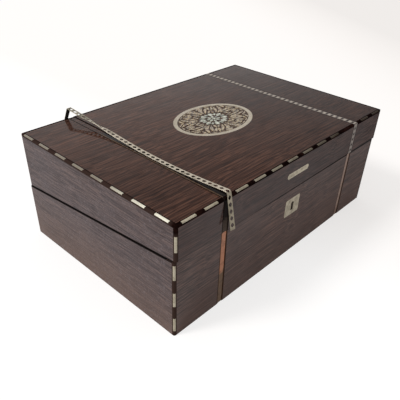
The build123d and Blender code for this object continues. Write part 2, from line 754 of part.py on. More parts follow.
def flap_leaf(side, turning):
    """A leaf with its knuckles, either fixed to the back board or turning with the flap."""
    axis_a = flap_axis(side)
    if turning:
        near, far, bore = axis_a - flap_leaf_gap, flap_back(side), flap_pin_radius + pin_clearance
    else:
        near, far, bore = axis_a + flap_leaf_gap, max(back_walls(side)) + flap_leaf_thick, flap_pin_radius
    plate = flap_leaf_block(*sorted((near, far)))
    for index in range(flap_knuckle_count):
        x0, x1 = knuckle_ends(flap_hinge_length, flap_knuckle_count, index)
        own = (index % 2 == 0) != turning
        if own:
            web = block(x0, x1, *sorted((axis_a, near)), axis_n - flap_leaf_gap, axis_n + flap_leaf_gap)
            plate = plate + web + rod(x0, x1, flap_knuckle_radius, axis_a, axis_n)
        else:
            plate = plate - rod(x0 - knuckle_gap, x1 + knuckle_gap,
                                flap_knuckle_radius + knuckle_gap, axis_a, axis_n)
    return plate - rod(-flap_hinge_length, flap_hinge_length, bore, axis_a, axis_n)


def flap_pin(side):
    """The pin of a flap hinge."""
    return rod(-flap_hinge_length / 2, flap_hinge_length / 2, flap_pin_radius, flap_axis(side), axis_n)


def flap_leather(side, free_edge, x_middle):
    """The leather let into a flap's face."""
    return block(x_middle - flap_half + leather_margin, x_middle + flap_half - leather_margin,
                 free_edge + leather_margin, flap_back(side) - leather_margin,
                 -flap_recess - leather_thick, -flap_recess)


def flap_board(side, free_edge, x_middle):
    """A flap's board with the bed for its leather and the seats of its hinge plates."""
    board = block(x_middle - flap_half, x_middle + flap_half, free_edge, flap_back(side) + flap_leaf_thick,
                  -flap_under, -flap_recess)
    seats = hinge_pair(flap_leaf_block(flap_back(side), flap_axis(side)))
    sweeps = hinge_pair(rod(-flap_hinge_length / 2 - knuckle_gap, flap_hinge_length / 2 + knuckle_gap,
                            flap_knuckle_radius + knuckle_gap, flap_axis(side), axis_n))
    return cut(board, *seats, *sweeps, flap_leather(side, free_edge, x_middle))


def flap_tab(free_edge, x_middle):
    """A short ribbon pull on the flap's free edge."""
    return block(x_middle - tab_width / 2, x_middle + tab_width / 2, free_edge,
                 free_edge + tab_length, -flap_recess, -flap_recess + tab_thick)


def flap_ledges(side, free_wall, x0, x1):
    """Three strips under a flap: along both ends and along the wall at its free edge."""
    top = -flap_under - ledge_gap
    foot = top - ledge_thick
    walls = wall_place(free_wall, -top, side), wall_place(free_wall, -foot, side)
    low_end = min(walls) - ledge_width
    return [block(x0, x0 + ledge_width, low_end, 0, foot, top),
            block(x1 - ledge_width, x1, low_end, 0, foot, top),
            block(x0 + ledge_width, x1 - ledge_width, low_end, max(walls) + ledge_width, foot, top)]


def flap_set(side, free_wall, x0, x1, back_board):
    """Every piece of one flap and of what carries it, placed in the box."""
    x_middle = (x0 + x1) / 2
    free_edge = max(wall_place(free_wall, 0, side), wall_place(free_wall, flap_under, side)) + flap_end_gap
    walls = [block(-reach, reach, -reach, free_wall, 0, reach),
             block(-reach, reach, inner_back, reach, 0, reach)]

    def placed(shape):
        return on_slope(shape if side < 0 else flipped(shape))

    fixed = [cut(placed(piece), back_board) for piece in hinge_pair(flap_leaf(side, False))]
    fixed += [placed(piece) for piece in hinge_pair(flap_pin(side))]
    ledges = [cut(placed(strip), *walls) for strip in flap_ledges(side, free_wall, x0, x1)]
    return {
        "flap_hinge_leaves": group(fixed),
        "flap_ledges": group(ledges),
        "flap_hinge_plates": group([placed(piece) for piece in hinge_pair(flap_leaf(side, True))]),
        "flap_board": placed(flap_board(side, free_edge, x_middle)),
        "flap_leather": placed(flap_leather(side, free_edge, x_middle)),
        "flap_tab": placed(flap_tab(free_edge, x_middle)),
    }


base_flap = flap_set(-1, partition_back, inner_left, inner_right, base_back)
lid_flap = flap_set(1, lid_inner_front, lid_left + end_thick, lid_right - end_thick, lid_back)

# ---------------------------------------------------------------- every piece, by name
pieces = {
    "base_front": base_front,
    "base_back": base_back,
    "base_left_end": base_left_end,
    "base_right_end": base_right_end,
    "base_bottom": base_bottom,
    "base_string_left": base_strings[0],
    "base_string_right": base_strings[1],
    "base_pearls": group(base_dashes),
    "base_band_lines": group(base_lines),
    "escutcheon": escutcheon,
    "lock_case": lock_case,
    "lock_plate": lock_plate,
    "lock_bolt": lock_bolt,
    "base_screws": group([slotted(place) for place in base_screw_places]),
    "well_partition": well_partition,
    "ink_divider_left": ink_dividers[0],
    "ink_divider_right": ink_dividers[1],
    "ink_floors": group(ink_floors),
    "pen_tray": pen_tray,
    "pen_tray_rests": group(tray_rests),
    "ink_bottle_left": bottle_places[0] * bottle,
    "ink_bottle_right": bottle_places[1] * bottle,
    "ink_bottle_caps": group([place * cap for place in bottle_places]),
    "base_hinge_leaf_left": base_leaves[0],
    "base_hinge_leaf_right": base_leaves[1],
    "hinge_pins": group(hinge_pins),
    "lid_top": lid_top,
    "lid_front": lid_front_board,
    "lid_back": lid_back,
    "lid_left_end": lid_left_end,
    "lid_right_end": lid_right_end,
    "lid_edge_string": lid_edge_string,
    "lid_corner_strings": group(lid_corner_strings),
    "lid_pearls_left": group(left_dashes),
    "lid_pearls_front": group(front_dashes + [lid_post_dash]),
    "lid_band_lines": group(lid_lines),
    "band_right": band_right,
    "band_loose": band_loose,
    "roundel_ring": roundel_ring,
    "roundel_ground": roundel_ground,
    "roundel_scrolls": group(scroll_pieces),
    "roundel_rosette": group(rosette_pieces),
    "nameplate": nameplate,
    "strike_plate": strike_plate,
    "lid_screws": group([slotted(place) for place in lid_screw_places]),
    "lid_hinge_leaf_left": lid_leaves[0],
    "lid_hinge_leaf_right": lid_leaves[1],
}
for name, shape in base_flap.items():
    pieces["base_" + name] = shape
for name, shape in lid_flap.items():
    pieces["lid_" + name] = shape

os.makedirs("parts", exist_ok=True)
for name, shape in pieces.items():
    export_step(shape, f"parts/{name}.step")

print("pieces", len(pieces))
print("slope in degrees", slope)
print("hinge axis", hinge_y, hinge_z)
print("base flap axis", (to_slope * Pos(0, flap_axis(-1), axis_n)).position)
print("lid flap axis", (to_slope * Pos(0, flap_axis(1), -axis_n)).position)
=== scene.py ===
"""Finishes and soft pieces of a veneered writing slope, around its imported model."""
import json
import logging
import math
from dataclasses import dataclass, field, replace
from enum import Enum
from typing import Any, Callable, Mapping, Sequence

import bmesh
import bpy
from mathutils import Matrix, Vector


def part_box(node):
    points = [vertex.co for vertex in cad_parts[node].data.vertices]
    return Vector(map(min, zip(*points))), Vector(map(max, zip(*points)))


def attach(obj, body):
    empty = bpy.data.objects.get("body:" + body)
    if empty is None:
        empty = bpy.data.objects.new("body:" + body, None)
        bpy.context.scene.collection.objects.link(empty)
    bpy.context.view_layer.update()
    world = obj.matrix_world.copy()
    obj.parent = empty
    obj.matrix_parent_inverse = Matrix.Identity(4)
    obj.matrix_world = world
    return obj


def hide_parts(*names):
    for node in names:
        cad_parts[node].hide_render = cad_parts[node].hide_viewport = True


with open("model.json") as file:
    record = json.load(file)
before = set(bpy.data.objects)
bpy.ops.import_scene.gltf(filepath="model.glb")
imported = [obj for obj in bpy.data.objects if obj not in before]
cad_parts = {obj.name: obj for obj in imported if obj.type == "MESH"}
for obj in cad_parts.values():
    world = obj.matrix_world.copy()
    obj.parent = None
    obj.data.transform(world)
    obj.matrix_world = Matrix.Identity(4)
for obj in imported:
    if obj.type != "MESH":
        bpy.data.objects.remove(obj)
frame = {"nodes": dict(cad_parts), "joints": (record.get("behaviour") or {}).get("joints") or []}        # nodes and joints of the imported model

LOG = logging.getLogger("writing_slope")
MM = 0.001
TINY = 1e-9
EDGE_ANGLE = math.radians(30)
Colour = tuple[float, float, float, float]
Number = "Value | float"


def rgb(red: int, green: int, blue: int) -> Colour:
    """Turn a colour as it looks on a screen into the linear colour that shaders take.

    Args:
        red: Red, from 0 to 255.
        green: Green, from 0 to 255.
        blue: Blue, from 0 to 255.

    Returns:
        The linear colour, opaque.
    """
    linear = []
    for byte in (red, green, blue):
        share = byte / 255
        linear.append(share / 12.92 if share <= 0.04045 else ((share + 0.055) / 1.055) ** 2.4)
    return (*linear, 1.0)


class Grain(Enum):
    """Which way a board's grain runs, in the order of the axes."""

    ALONG_FRONT = "x"
    ALONG_END = "y"
    UPRIGHT = "z"


class Value:
    """A node's output, with Python's arithmetic on it."""

    def __init__(self, paint: "Paint", socket: bpy.types.NodeSocket) -> None:
        """Wrap an output of one of a paint's nodes."""
        self.paint = paint
        self.socket = socket

    def maths(self, operation: str, *others: Number) -> "Value":
        """Add a Math node that starts from this value, with its operation and further operands."""
        operands = dict(enumerate((self, *others)))
        return self.paint.node("Math", {"operation": operation}, operands)[0]

    def __add__(self, other: Number) -> "Value":
        """Add."""
        return self.maths("ADD", other)

    def __sub__(self, other: Number) -> "Value":
        """Subtract."""
        return self.maths("SUBTRACT", other)

    def __rsub__(self, other: float) -> "Value":
        """Subtract from a number."""
        return (self * -1.0).maths("ADD", other)

    def __mul__(self, other: Number) -> "Value":
        """Multiply."""
        return self.maths("MULTIPLY", other)

    def __rmul__(self, other: float) -> "Value":
        """Multiply a number."""
        return self.maths("MULTIPLY", other)

    def __truediv__(self, other: Number) -> "Value":
        """Divide."""
        return self.maths("DIVIDE", other)

    def __abs__(self) -> "Value":
        """Drop the sign."""
        return self.maths("ABSOLUTE")

    def below(self, limit: Number, soft: float = 0.0) -> "Value":
        """Be one under a limit and zero over it, blurred over a reach to each side of it."""
        if soft == 0.0:
            return self.maths("LESS_THAN", limit)
        return ((limit - self) / (2.0 * soft) + 0.5).clamp()

    def above(self, limit: Number, soft: float = 0.0) -> "Value":
        """Be one over a limit and zero under it, blurred over a reach to each side of it."""
        return 1.0 - self.below(limit, soft)

    def at_most(self, limit: Number) -> "Value":
        """Give this value or a limit, whichever is less."""
        return self.maths("MINIMUM", limit)

    def at_least(self, limit: Number) -> "Value":
        """Give this value or a limit, whichever is more."""
        return self.maths("MAXIMUM", limit)

    def clamp(self) -> "Value":
        """Hold between zero and one."""
        return self.at_most(1.0).at_least(0.0)


class Outputs:
    """A node's outputs, by name or place."""

    def __init__(self, paint: "Paint", node: bpy.types.Node) -> None:
        """Wrap a node."""
        self.paint = paint
        self.made = node

    def __getitem__(self, key: str | int) -> Value:
        """Give one output."""
        return Value(self.paint, self.made.outputs[key])


class Paint:
    """A node tree while it is being written, of a material or of the world."""

    def __init__(self, owner: bpy.types.Material | bpy.types.World) -> None:
        """Start with an empty tree."""
        self.owner = owner
        owner.use_nodes = True
        self.tree = owner.node_tree
        self.tree.nodes.clear()

    @classmethod
    def of(cls, name: str) -> "Paint":
        """Start a new material."""
        return cls(bpy.data.materials.new(name))

    def node(self, kind: str, settings: Mapping[str, Any] | None = None,
             values: Mapping[str | int, Any] | None = None) -> Outputs:
        """Add a node.

        Args:
            kind: The node's type, without the ShaderNode before it.
            settings: Its own settings, set first; "stops" are a ramp's places and colours.
            values: What its sockets hold or are fed from.

        Returns:
            The node's outputs.
        """
        node = self.tree.nodes.new("ShaderNode" + kind)
        for key, setting in (settings or {}).items():
            if key == "stops":
                elements = node.color_ramp.elements
                while len(elements) < len(setting):
                    elements.new(1.0)
                for element, (place, colour) in zip(elements, setting):
                    element.position = place
                    element.color = colour
            else:
                setattr(node, key, setting)
        for key, value in (values or {}).items():
            if isinstance(value, Value):
                self.tree.links.new(value.socket, node.inputs[key])
            else:
                node.inputs[key].default_value = value
        return Outputs(self, node)

    def place(self) -> Value:
        """Give the point in the row's frame, in metres."""
        return self.node("TexCoord")["Object"]

    def parts(self, vector: Value) -> tuple[Value, Value, Value]:
        """Split a vector into its three numbers."""
        split = self.node("SeparateXYZ", None, {0: vector})
        return split[0], split[1], split[2]

    def vector(self, x: Number, y: Number, z: Number) -> Value:
        """Join three numbers into a vector."""
        return self.node("CombineXYZ", None, {0: x, 1: y, 2: z})[0]

    def along_grain(self, point: Value, grain: Grain, scales: tuple[float, float],
                    seed: float = 0.0) -> Value:
        """Scale a point unevenly, so that noise read there runs with the grain.

        Args:
            point: The point.
            grain: Which way the grain runs.
            scales: Scale with the grain and across it.
            seed: A shift that gives the board a figure of its own.

        Returns:
            The scaled point.
        """
        along, across = scales
        x, y, z = (part * (along if axis is grain else across)
                   for part, axis in zip(self.parts(point), Grain))
        return self.vector(x + seed, y, z)

    def inset(self, u: Value, v: Value, low: tuple[float, float], high: tuple[float, float]) -> Value:
        """Give how far a place lies within the nearest side of a rectangle, from its corners."""
        return (u - low[0]).at_most(high[0] - u).at_most((v - low[1]).at_most(high[1] - v))

    def noise(self, vector: Value, scale: float = 1.0, detail: float = 2.0,
              roughness: float = 0.5) -> Value:
        """Add cloud noise.

        Args:
            vector: Where it is read.
            scale: Clouds to the metre, where the vector is in metres.
            detail: Octaves.
            roughness: Share of the finer octaves.

        Returns:
            The noise, about 0.5.
        """
        values = {"Vector": vector, "Scale": scale, "Detail": detail, "Roughness": roughness}
        return self.node("TexNoise", None, values)["Fac"]

    def ramp(self, amount: Value, *stops: tuple[float, Colour]) -> Value:
        """Turn a number into a colour along a ramp."""
        return self.node("ValToRGB", {"stops": stops}, {0: amount})["Color"]

    def mix(self, low: "Value | Colour", high: "Value | Colour", amount: Number) -> Value:
        """Mix two colours.

        Args:
            low: The colour at zero.
            high: The colour at one.
            amount: How much of the second.

        Returns:
            The mixed colour.
        """
        return self.node("Mix", {"data_type": "RGBA"}, {0: amount, 6: low, 7: high})[2]

    def bump(self, height: Value, depth: float, strength: float = 1.0) -> Value:
        """Turn heights from 0 to 1 into a surface normal.

        Args:
            height: The heights.
            depth: What one stands for, in metres.
            strength: Share of the effect.

        Returns:
            The normal.
        """
        values = {"Strength": strength, "Distance": depth, "Height": height}
        return self.node("Bump", None, values)["Normal"]

    def finish(self, **inputs: Any) -> bpy.types.Material:
        """Close the material with one glossy shader.

        Args:
            inputs: The shader's inputs, with underscores for the spaces in their names.

        Returns:
            The finished material.
        """
        values = {key.replace("_", " "): value for key, value in inputs.items()}
        shader = self.node("BsdfPrincipled", None, values)
        self.node("OutputMaterial", None, {"Surface": shader["BSDF"]})
        return self.owner


# ---------------------------------------------------------------- finishes
@dataclass(frozen=True)
class Finish:
    """What a piece is dressed in."""

    name: str

    def dress(self) -> bpy.types.Material:
        """Write the material."""
        paint = Paint.of(self.name)
        return paint.finish(**self.inputs(paint, paint.place()))

    def inputs(self, paint: Paint, place: Value) -> dict[str, Any]:
        """Give what goes into the glossy shader.

        Args:
            paint: The material that is being written.
            place: The point in the row's frame.

        Returns:
            The shader's inputs, by name.
        """
        raise NotImplementedError


@dataclass(frozen=True)
class Lie:
    """The slanted seam plane: its hinge line and its slope."""

    hinge_y: float
    hinge_z: float
    slope: float

    def height(self, y: Value, z: Value) -> Value:
        """Give the height over the seam plane, square to it."""
        sine, cosine = math.sin(self.slope), math.cos(self.slope)
        return y * sine + z * cosine - (self.hinge_y * sine + self.hinge_z * cosine)


@dataclass(frozen=True)
class GrooveFloor:
    """The bare bottom of a groove that a band lay in; either of its colours can be painted shadow of the
    loose band.
    """

    middle_x: float
    bright: Colour
    dull: Colour
    half_width: float = 3.5 * MM
    dull_below: float = 1.0     # height under which the floor is dull
    residue: float = 0.5        # share of old glue over it
    lip: float = 0.0            # strip along its left side that keeps the bright colour; the rest can be painted shadow
    rim: float = 0.0            # grimy strip along both sides
    grime: Colour = rgb(70, 50, 38)
    bare_until: float = 1.0     # place along Y behind which it looks like the veneer


@dataclass(frozen=True)
class Grooves:
    """Where a board's bare band grooves are, and how their floors look."""

    face_axis: int              # the axis that the board's face looks along
    face_at: float              # where the face is on it
    floors: tuple[GrooveFloor, ...] = ()
    shallow: float = 0.3 * MM   # the depths between which a place is on a floor
    deep: float = 1.2 * MM
    polished: float = 1.0       # share of the board's polish left in them


@dataclass(frozen=True)
class Rosewood(Finish):
    """Old veneer with dark and reddish streaks, under a worn polish."""

    grain: Grain
    dark: Colour
    brown: Colour
    warm: Colour
    # pale grey of a bloomed polish, which also serves as painted sheen
    bloom_and_sheen: Colour
    lie: Lie
    grooves: Grooves | None = None
    polish: float = 0.3         # weight of the clear coat
    polish_roughness: float = 0.1
    polish_lean: tuple[float, float] = (0.0, 0.0)    # its gain to the back and loss to the right, per metre
    roughness: float = 0.55
    specular: float = 0.02
    warmth: float = 0.5
    bloom_and_sheen_share: float = 0.5
    bloom_and_sheen_lean: tuple[float, float] = (0.0, 0.0)     # how the bloom and painted sheen grow to the back, and fade right
    crazing: float = 0.0
    greyed: Colour | None = None        # colour that it turns to toward the right
    greyed_from: float = -60.0 * MM
    greyed_over: float = 180.0 * MM
    greyed_share: float = 0.55
    foot: Colour | None = None  # colour that it turns to toward the floor
    foot_height: float = 60.0 * MM
    seed: float = 0.0
    # half width and colour of the painted shadow in the seam's gap
    seam_shadow: float = 0.7 * MM
    seam_widening: float = 0.0  # how much wider the painted seam shadow gets to the right
    seam_black: Colour = rgb(12, 9, 8)
    lean_from: float = -125.0 * MM      # where the polish starts to fade to the right
    wander: float = 20.0 * MM   # how far the streaks wander
    figure_scale: tuple[float, float] = (3.0, 18.0)
    streak_scale: tuple[float, float] = (9.0, 190.0)
    thread_scale: tuple[float, float] = (26.0, 560.0)
    hair_scale: tuple[float, float] = (90.0, 1100.0)
    weights: tuple[float, float, float, float] = (0.5, 0.55, 1.3, 1.5)

    def groove_floors(self, paint: Paint, place: Value, base: Value,
                      grooves: Grooves) -> tuple[Value, Value]:
        """Lay the bare floors of the grooves, some with painted shadow, over the veneer's colour.

        Args:
            paint: The material that is being written.
            place: The point.
            base: The veneer's colour.
            grooves: Where they are and how they look.

        Returns:
            The colour with the floors in it, and the share of the polish left at each point.
        """
        axes = paint.parts(place)
        x, y, z = axes
        depth = abs(axes[grooves.face_axis] - grooves.face_at)
        inside = depth.above(grooves.shallow) * depth.below(grooves.deep)
        spots = paint.noise(paint.along_grain(place, self.grain, (90.0, 160.0), self.seed), 1.0, 4.0, 0.6)
        colour = base
        shine = 1.0 - inside * (1.0 - grooves.polished)
        for floor in grooves.floors:
            here = inside * abs(x - floor.middle_x).below(floor.half_width)
            edge = (spots - 0.5) * 0.03 + floor.dull_below
            # the dull colour, painted shadow on some floors, lies under a height and right of the lip
            dulled = z.below(edge, 2.5 * MM)
            if floor.lip:
                dulled = dulled * x.above(floor.middle_x - floor.half_width + floor.lip, 0.2 * MM)
            tone = paint.mix(floor.bright, floor.dull, dulled)
            tone = paint.mix(tone, self.dark, spots.above(0.62 - 0.2 * floor.residue, 0.05) * floor.residue)
            if floor.rim:
                side = abs(x - floor.middle_x).above(floor.half_width - floor.rim, 0.2 * MM)
                tone = paint.mix(tone, floor.grime, side)
            here = here * y.below(floor.bare_until, 4.0 * MM)
            colour = paint.mix(colour, tone, here)
        return colour, shine

    def figure(self, paint: Paint, place: Value) -> tuple[Value, Value]:
        """Give the fresh veneer's colour.

        Args:
            paint: The material that is being written.
            place: The point.

        Returns:
            The colour, and the finest streaks in it.
        """
        wander = (paint.noise(place, 6.0, 3.0) - 0.5) * self.wander
        shift = paint.vector(wander, wander, wander)
        bent = paint.node("VectorMath", {"operation": "ADD"}, {0: place, 1: shift})[0]
        layers = (self.figure_scale, self.streak_scale, self.thread_scale, self.hair_scale)
        amount: Number = self.warmth
        for scales, weight in zip(layers, self.weights):
            streaks = paint.noise(paint.along_grain(bent, self.grain, scales, self.seed), 1.0, 3.0, 0.55)
            amount = (streaks - 0.5) * weight + amount
        return paint.ramp(amount.clamp(), (0.08, self.dark), (0.5, self.brown), (0.95, self.warm)), streaks

    def aged(self, paint: Paint, place: Value, wood: Value) -> Value:
        """Give the colour with bloom and painted sheen, greying, a warmer foot and crazing over it.

        Args:
            paint: The material that is being written.
            place: The point.
            wood: The fresh veneer's colour.

        Returns:
            The colour.
        """
        x, y, z = paint.parts(place)
        haze = paint.noise(place, 14.0, 5.0, 0.6) - 0.5
        back, right = self.bloom_and_sheen_lean
        spread = y * back + 1.0 - x.at_least(0.0) * right
        # bloom and painted sheen, growing to the back and fading to the right
        wood = paint.mix(wood, self.bloom_and_sheen, ((haze * 1.6 + 0.5) * spread * self.bloom_and_sheen_share).clamp())
        if self.greyed:
            reach = ((x - self.greyed_from) / self.greyed_over).clamp()
            wood = paint.mix(wood, self.greyed, reach * self.greyed_share)
        if self.foot:
            low = (1.0 - z / self.foot_height + haze * 1.2).clamp()
            wood = paint.mix(wood, self.foot, low * 0.6)
        if self.crazing:
            cracks = paint.noise(place, 330.0, 4.0, 0.7)
            lines = abs(cracks - 0.5).below(0.022, 0.015)
            wood = paint.mix(wood, self.dark, lines * self.crazing)
            wood = paint.mix(wood, self.bloom_and_sheen, cracks.above(0.6, 0.06) * self.crazing)
        return wood

    def inputs(self, paint: Paint, place: Value) -> dict[str, Any]:
        """Give what goes into the shader: aged veneer, a painted black shadow in the seam's gap, bare grooves
        and a worn coat.
        """
        wood, streaks = self.figure(paint, place)
        wood = self.aged(paint, place, wood)
        x, y, z = paint.parts(place)
        # painted shadow of the gap along the seam
        seam = abs(self.lie.height(y, z)).below(x * self.seam_widening + self.seam_shadow, 0.25 * MM)
        wood = paint.mix(wood, self.seam_black, seam * 0.96)
        dull = paint.noise(place, 60.0, 4.0, 0.65)
        gain, loss = self.polish_lean
        share = y * gain + 1.0 - (x - self.lean_from).at_least(0.0) * loss
        coat_weight = (1.25 - dull * 0.5) * share * (1.0 - seam) * self.polish
        if self.grooves:
            wood, shine = self.groove_floors(paint, place, wood, self.grooves)
            coat_weight = coat_weight * shine
        return dict(Base_Color=wood, Roughness=(dull - 0.5) * 0.2 + self.roughness,
                    Normal=paint.bump(streaks, 0.04 * MM, 0.3), Specular_IOR_Level=self.specular,
                    Coat_Weight=coat_weight.clamp(), Coat_Roughness=self.polish_roughness)


@dataclass(frozen=True)
class PlainWood(Finish):
    """Oiled solid wood of the inside."""

    dark: Colour
    light: Colour
    roughness: float = 0.5
    grain: Grain = Grain.ALONG_FRONT
    fibre_scale: tuple[float, float] = (7.0, 260.0)

    def inputs(self, paint: Paint, place: Value) -> dict[str, Any]:
        """Give what goes into the shader."""
        figure = paint.noise(paint.along_grain(place, self.grain, self.fibre_scale), 1.0, 5.0, 0.6)
        cloud = paint.noise(place, 18.0, 3.0)
        wood = paint.ramp(figure * 0.75 + cloud * 0.25, (0.3, self.dark), (0.7, self.light))
        return dict(Base_Color=wood, Roughness=(cloud - 0.5) * 0.2 + self.roughness,
                    Normal=paint.bump(figure, 0.06 * MM, 0.5), Specular_IOR_Level=0.4)


@dataclass(frozen=True)
class DarkString(Finish):
    """Thin polished dark wood let into the arrises."""

    dark: Colour
    worn: Colour
    roughness: float = 0.5
    polish: float = 0.25
    left: Colour | None = None  # painted sheen: the lighter colour that it shows along the left end
    left_sheen_edge: float = 0.0      # how far right that reaches
    corner: tuple[float, float] = (0.0, 0.0)     # the top front corner, before and over which it gets no painted sheen

    def inputs(self, paint: Paint, place: Value) -> dict[str, Any]:
        """Give what goes into the shader."""
        wear = paint.noise(place, 90.0, 4.0, 0.65)
        fibre = paint.noise(place, 700.0, 2.0)
        wood = paint.mix(self.dark, self.worn, wear.above(0.56, 0.08) * 0.8)
        wood = paint.mix(wood, self.dark, fibre.below(0.45, 0.05) * 0.4)
        # painted sheen: lighter along the left end, kept off the top front corner
        if self.left:
            x, y, z = paint.parts(place)
            kept = y.below(self.corner[0], 2.0 * MM) * z.above(self.corner[1], 2.0 * MM)
            wood = paint.mix(wood, self.left, x.below(self.left_sheen_edge, 0.3 * MM) * (1.0 - kept) * 0.85)
        return dict(Base_Color=wood, Roughness=(wear - 0.5) * 0.3 + self.roughness,
                    Normal=paint.bump(fibre, 0.04 * MM, 0.5), Specular_IOR_Level=0.0,
                    Coat_Weight=((1.2 - wear * 0.4) * self.polish).clamp(), Coat_Roughness=0.12)


@dataclass(frozen=True)
class Shell(Finish):
    """Thin slips of shell, creamy to silver, with their growth lines."""

    pale: Colour
    tinted: Colour
    line: Colour
    roughness: float = 0.28
    hues: tuple[Colour, ...] = ()
    patch: float = 120.0    # colour patches to the metre
    dulled: Colour | None = None        # what it turns to along an axis
    dull_axis: int = 0
    dull_span: tuple[float, float] = (-0.175, 0.08)
    specular: float = 0.55

    def inputs(self, paint: Paint, place: Value) -> dict[str, Any]:
        """Give what goes into the shader."""
        clouds = paint.noise(place, self.patch, 3.0, 0.6)
        growth = paint.noise(place, 900.0, 2.0)
        shell = paint.mix(self.pale, self.tinted, (clouds - 0.35).clamp() * 2.0)
        if self.hues:
            step = 0.4 / max(len(self.hues) - 1, 1)
            stops = [(0.3 + index * step, hue) for index, hue in enumerate(self.hues)]
            patches = (paint.noise(place, self.patch * 1.7, 1.0) - 0.5) * 2.0 + 0.5
            shell = paint.mix(shell, paint.ramp(patches, *stops), 0.9)
        shell = paint.mix(shell, self.line, growth.below(0.4, 0.04) * 0.45)
        if self.dulled:
            start, end = self.dull_span
            along = paint.parts(place)[self.dull_axis]
            shell = paint.mix(shell, self.dulled, ((along - start) / (end - start)).clamp())
        return dict(Base_Color=shell, Roughness=(clouds - 0.5) * 0.3 + self.roughness,
                    Normal=paint.bump(clouds, 0.08 * MM, 0.4), Specular_IOR_Level=self.specular)


@dataclass(frozen=True)
class Metal(Finish):
    """Worn sheet metal with a tarnish that gathers in patches."""

    bright: Colour
    tarnish: Colour
    roughness: float = 0.36
    patch: float = 160.0
    share: float = 0.45     # noise over this is tarnished
    metallic: float = 1.0

    def tint(self, paint: Paint, place: Value, base: Value) -> Value:
        """Give the colour with the marks of a kind of metal in it; plain metal has none.

        Args:
            paint: The material that is being written.
            place: The point.
            base: The metal's colour.

        Returns:
            The colour.
        """
        return base

    def inputs(self, paint: Paint, place: Value) -> dict[str, Any]:
        """Give what goes into the shader."""
        patches = paint.noise(place, self.patch, 4.0, 0.65)
        scuffs = paint.noise(place, 1400.0, 2.0)
        metal = paint.mix(self.bright, self.tarnish, patches.above(1.0 - self.share, 0.12))
        metal = paint.mix(metal, self.tarnish, scuffs.above(0.58, 0.06) * 0.35)
        metal = self.tint(paint, place, metal)
        return dict(Base_Color=metal, Metallic=self.metallic,
                    Roughness=patches * 0.24 + (self.roughness - 0.12),
                    Normal=paint.bump(scuffs * 0.4 + patches * 0.6, 0.06 * MM, 0.4))


@dataclass(frozen=True)
class SetBand(Metal):
    """A band still in its groove: dark along the holes, with painted highlights on the webs between them,
    stronger on top.
    """

    middle_x: float = 0.0
    pitch: float = 6.9 * MM
    first_y: float = 0.0
    first_z: float = 0.0
    front_y: float = 0.0
    corner: float = 1.2 * MM    # where its top turns down at the front
    web_half: float = 2.9 * MM
    web_highlight_front: float = 0.24  # painted highlight on the webs on the front, and how much more on top
    web_highlight_top: float = 0.62
    film: float = 0.08          # how much of the metal shows everywhere

    def tint(self, paint: Paint, place: Value, base: Value) -> Value:
        """Paint highlights on the webs between the holes, brighter on top than on the front."""
        x, y, z = paint.parts(place)
        turn = 2.0 * math.pi / self.pitch
        on_top = y.above(self.front_y + self.corner)
        run = (y - self.first_y) * on_top + (z - self.first_z) * (1.0 - on_top)
        web = 0.5 - 0.5 * (run * turn).maths("COSINE")
        middle = abs(x - self.middle_x).below(self.web_half, 0.6 * MM)
        lit = on_top * self.web_highlight_top + self.web_highlight_front
        web_highlight = web.above(0.45, 0.25) * middle * lit + self.film
        return paint.mix(self.tarnish, base, web_highlight.clamp())


@dataclass(frozen=True)
class LooseMetal(Metal):
    """The band that has sprung loose: bright along its run, with painted shade on its front leg, and stained
    at its back end.
    """

    dull_from_y: float = 0.0
    shade_front_y: float = 0.0
    leg_shade: float = 0.7
    stain: Colour = rgb(84, 82, 66)
    stain_reach: float = 25.0 * MM

    def tint(self, paint: Paint, place: Value, base: Value) -> Value:
        """Paint shade on the front leg and stain the tail."""
        _, y, _ = paint.parts(place)
        front_leg = y.below(self.shade_front_y, 1.5 * MM)
        blotches = paint.noise(place, 260.0, 3.0, 0.6)
        tail = ((y - self.dull_from_y) / self.stain_reach).clamp() * (blotches * 1.4 - 0.1).clamp()
        # painted shade on the front leg
        colour = paint.mix(base, self.tarnish, front_leg * self.leg_shade)
        return paint.mix(colour, self.stain, tail)


@dataclass(frozen=True)
class Plate(Metal):
    """A small let-in plate with a rubbed, brighter rim."""

    low: tuple[float, float] = (0.0, 0.0)
    high: tuple[float, float] = (0.0, 0.0)
    rim: float = 1.3 * MM

    def tint(self, paint: Paint, place: Value, base: Value) -> Value:
        """Brighten the rim."""
        x, _, z = paint.parts(place)
        edge = paint.inset(x, z, self.low, self.high).below(self.rim, 0.5 * MM)
        return paint.mix(base, self.bright, edge * 0.75)


@dataclass(frozen=True)
class GroundInlay(Finish):
    """Dark worn ground between the roundel's leaves."""

    dark: Colour
    light: Colour

    def inputs(self, paint: Paint, place: Value) -> dict[str, Any]:
        """Give what goes into the shader."""
        clouds = paint.noise(place, 420.0, 3.0, 0.6)
        wood = paint.mix(self.dark, self.light, clouds.above(0.54, 0.06) * 0.7)
        return dict(Base_Color=wood, Roughness=0.6, Normal=paint.bump(clouds, 0.15 * MM, 0.6),
                    Specular_IOR_Level=0.3)


@dataclass(frozen=True)
class Glass(Finish):
    """Clear old pressed glass."""

    colour: Colour

    def inputs(self, paint: Paint, place: Value) -> dict[str, Any]:
        """Give what goes into the shader."""
        ripple = paint.noise(place, 90.0, 2.0)
        return dict(Base_Color=self.colour, Roughness=0.04, IOR=1.5, Transmission_Weight=0.96,
                    Normal=paint.bump(ripple, 0.3 * MM, 0.3))


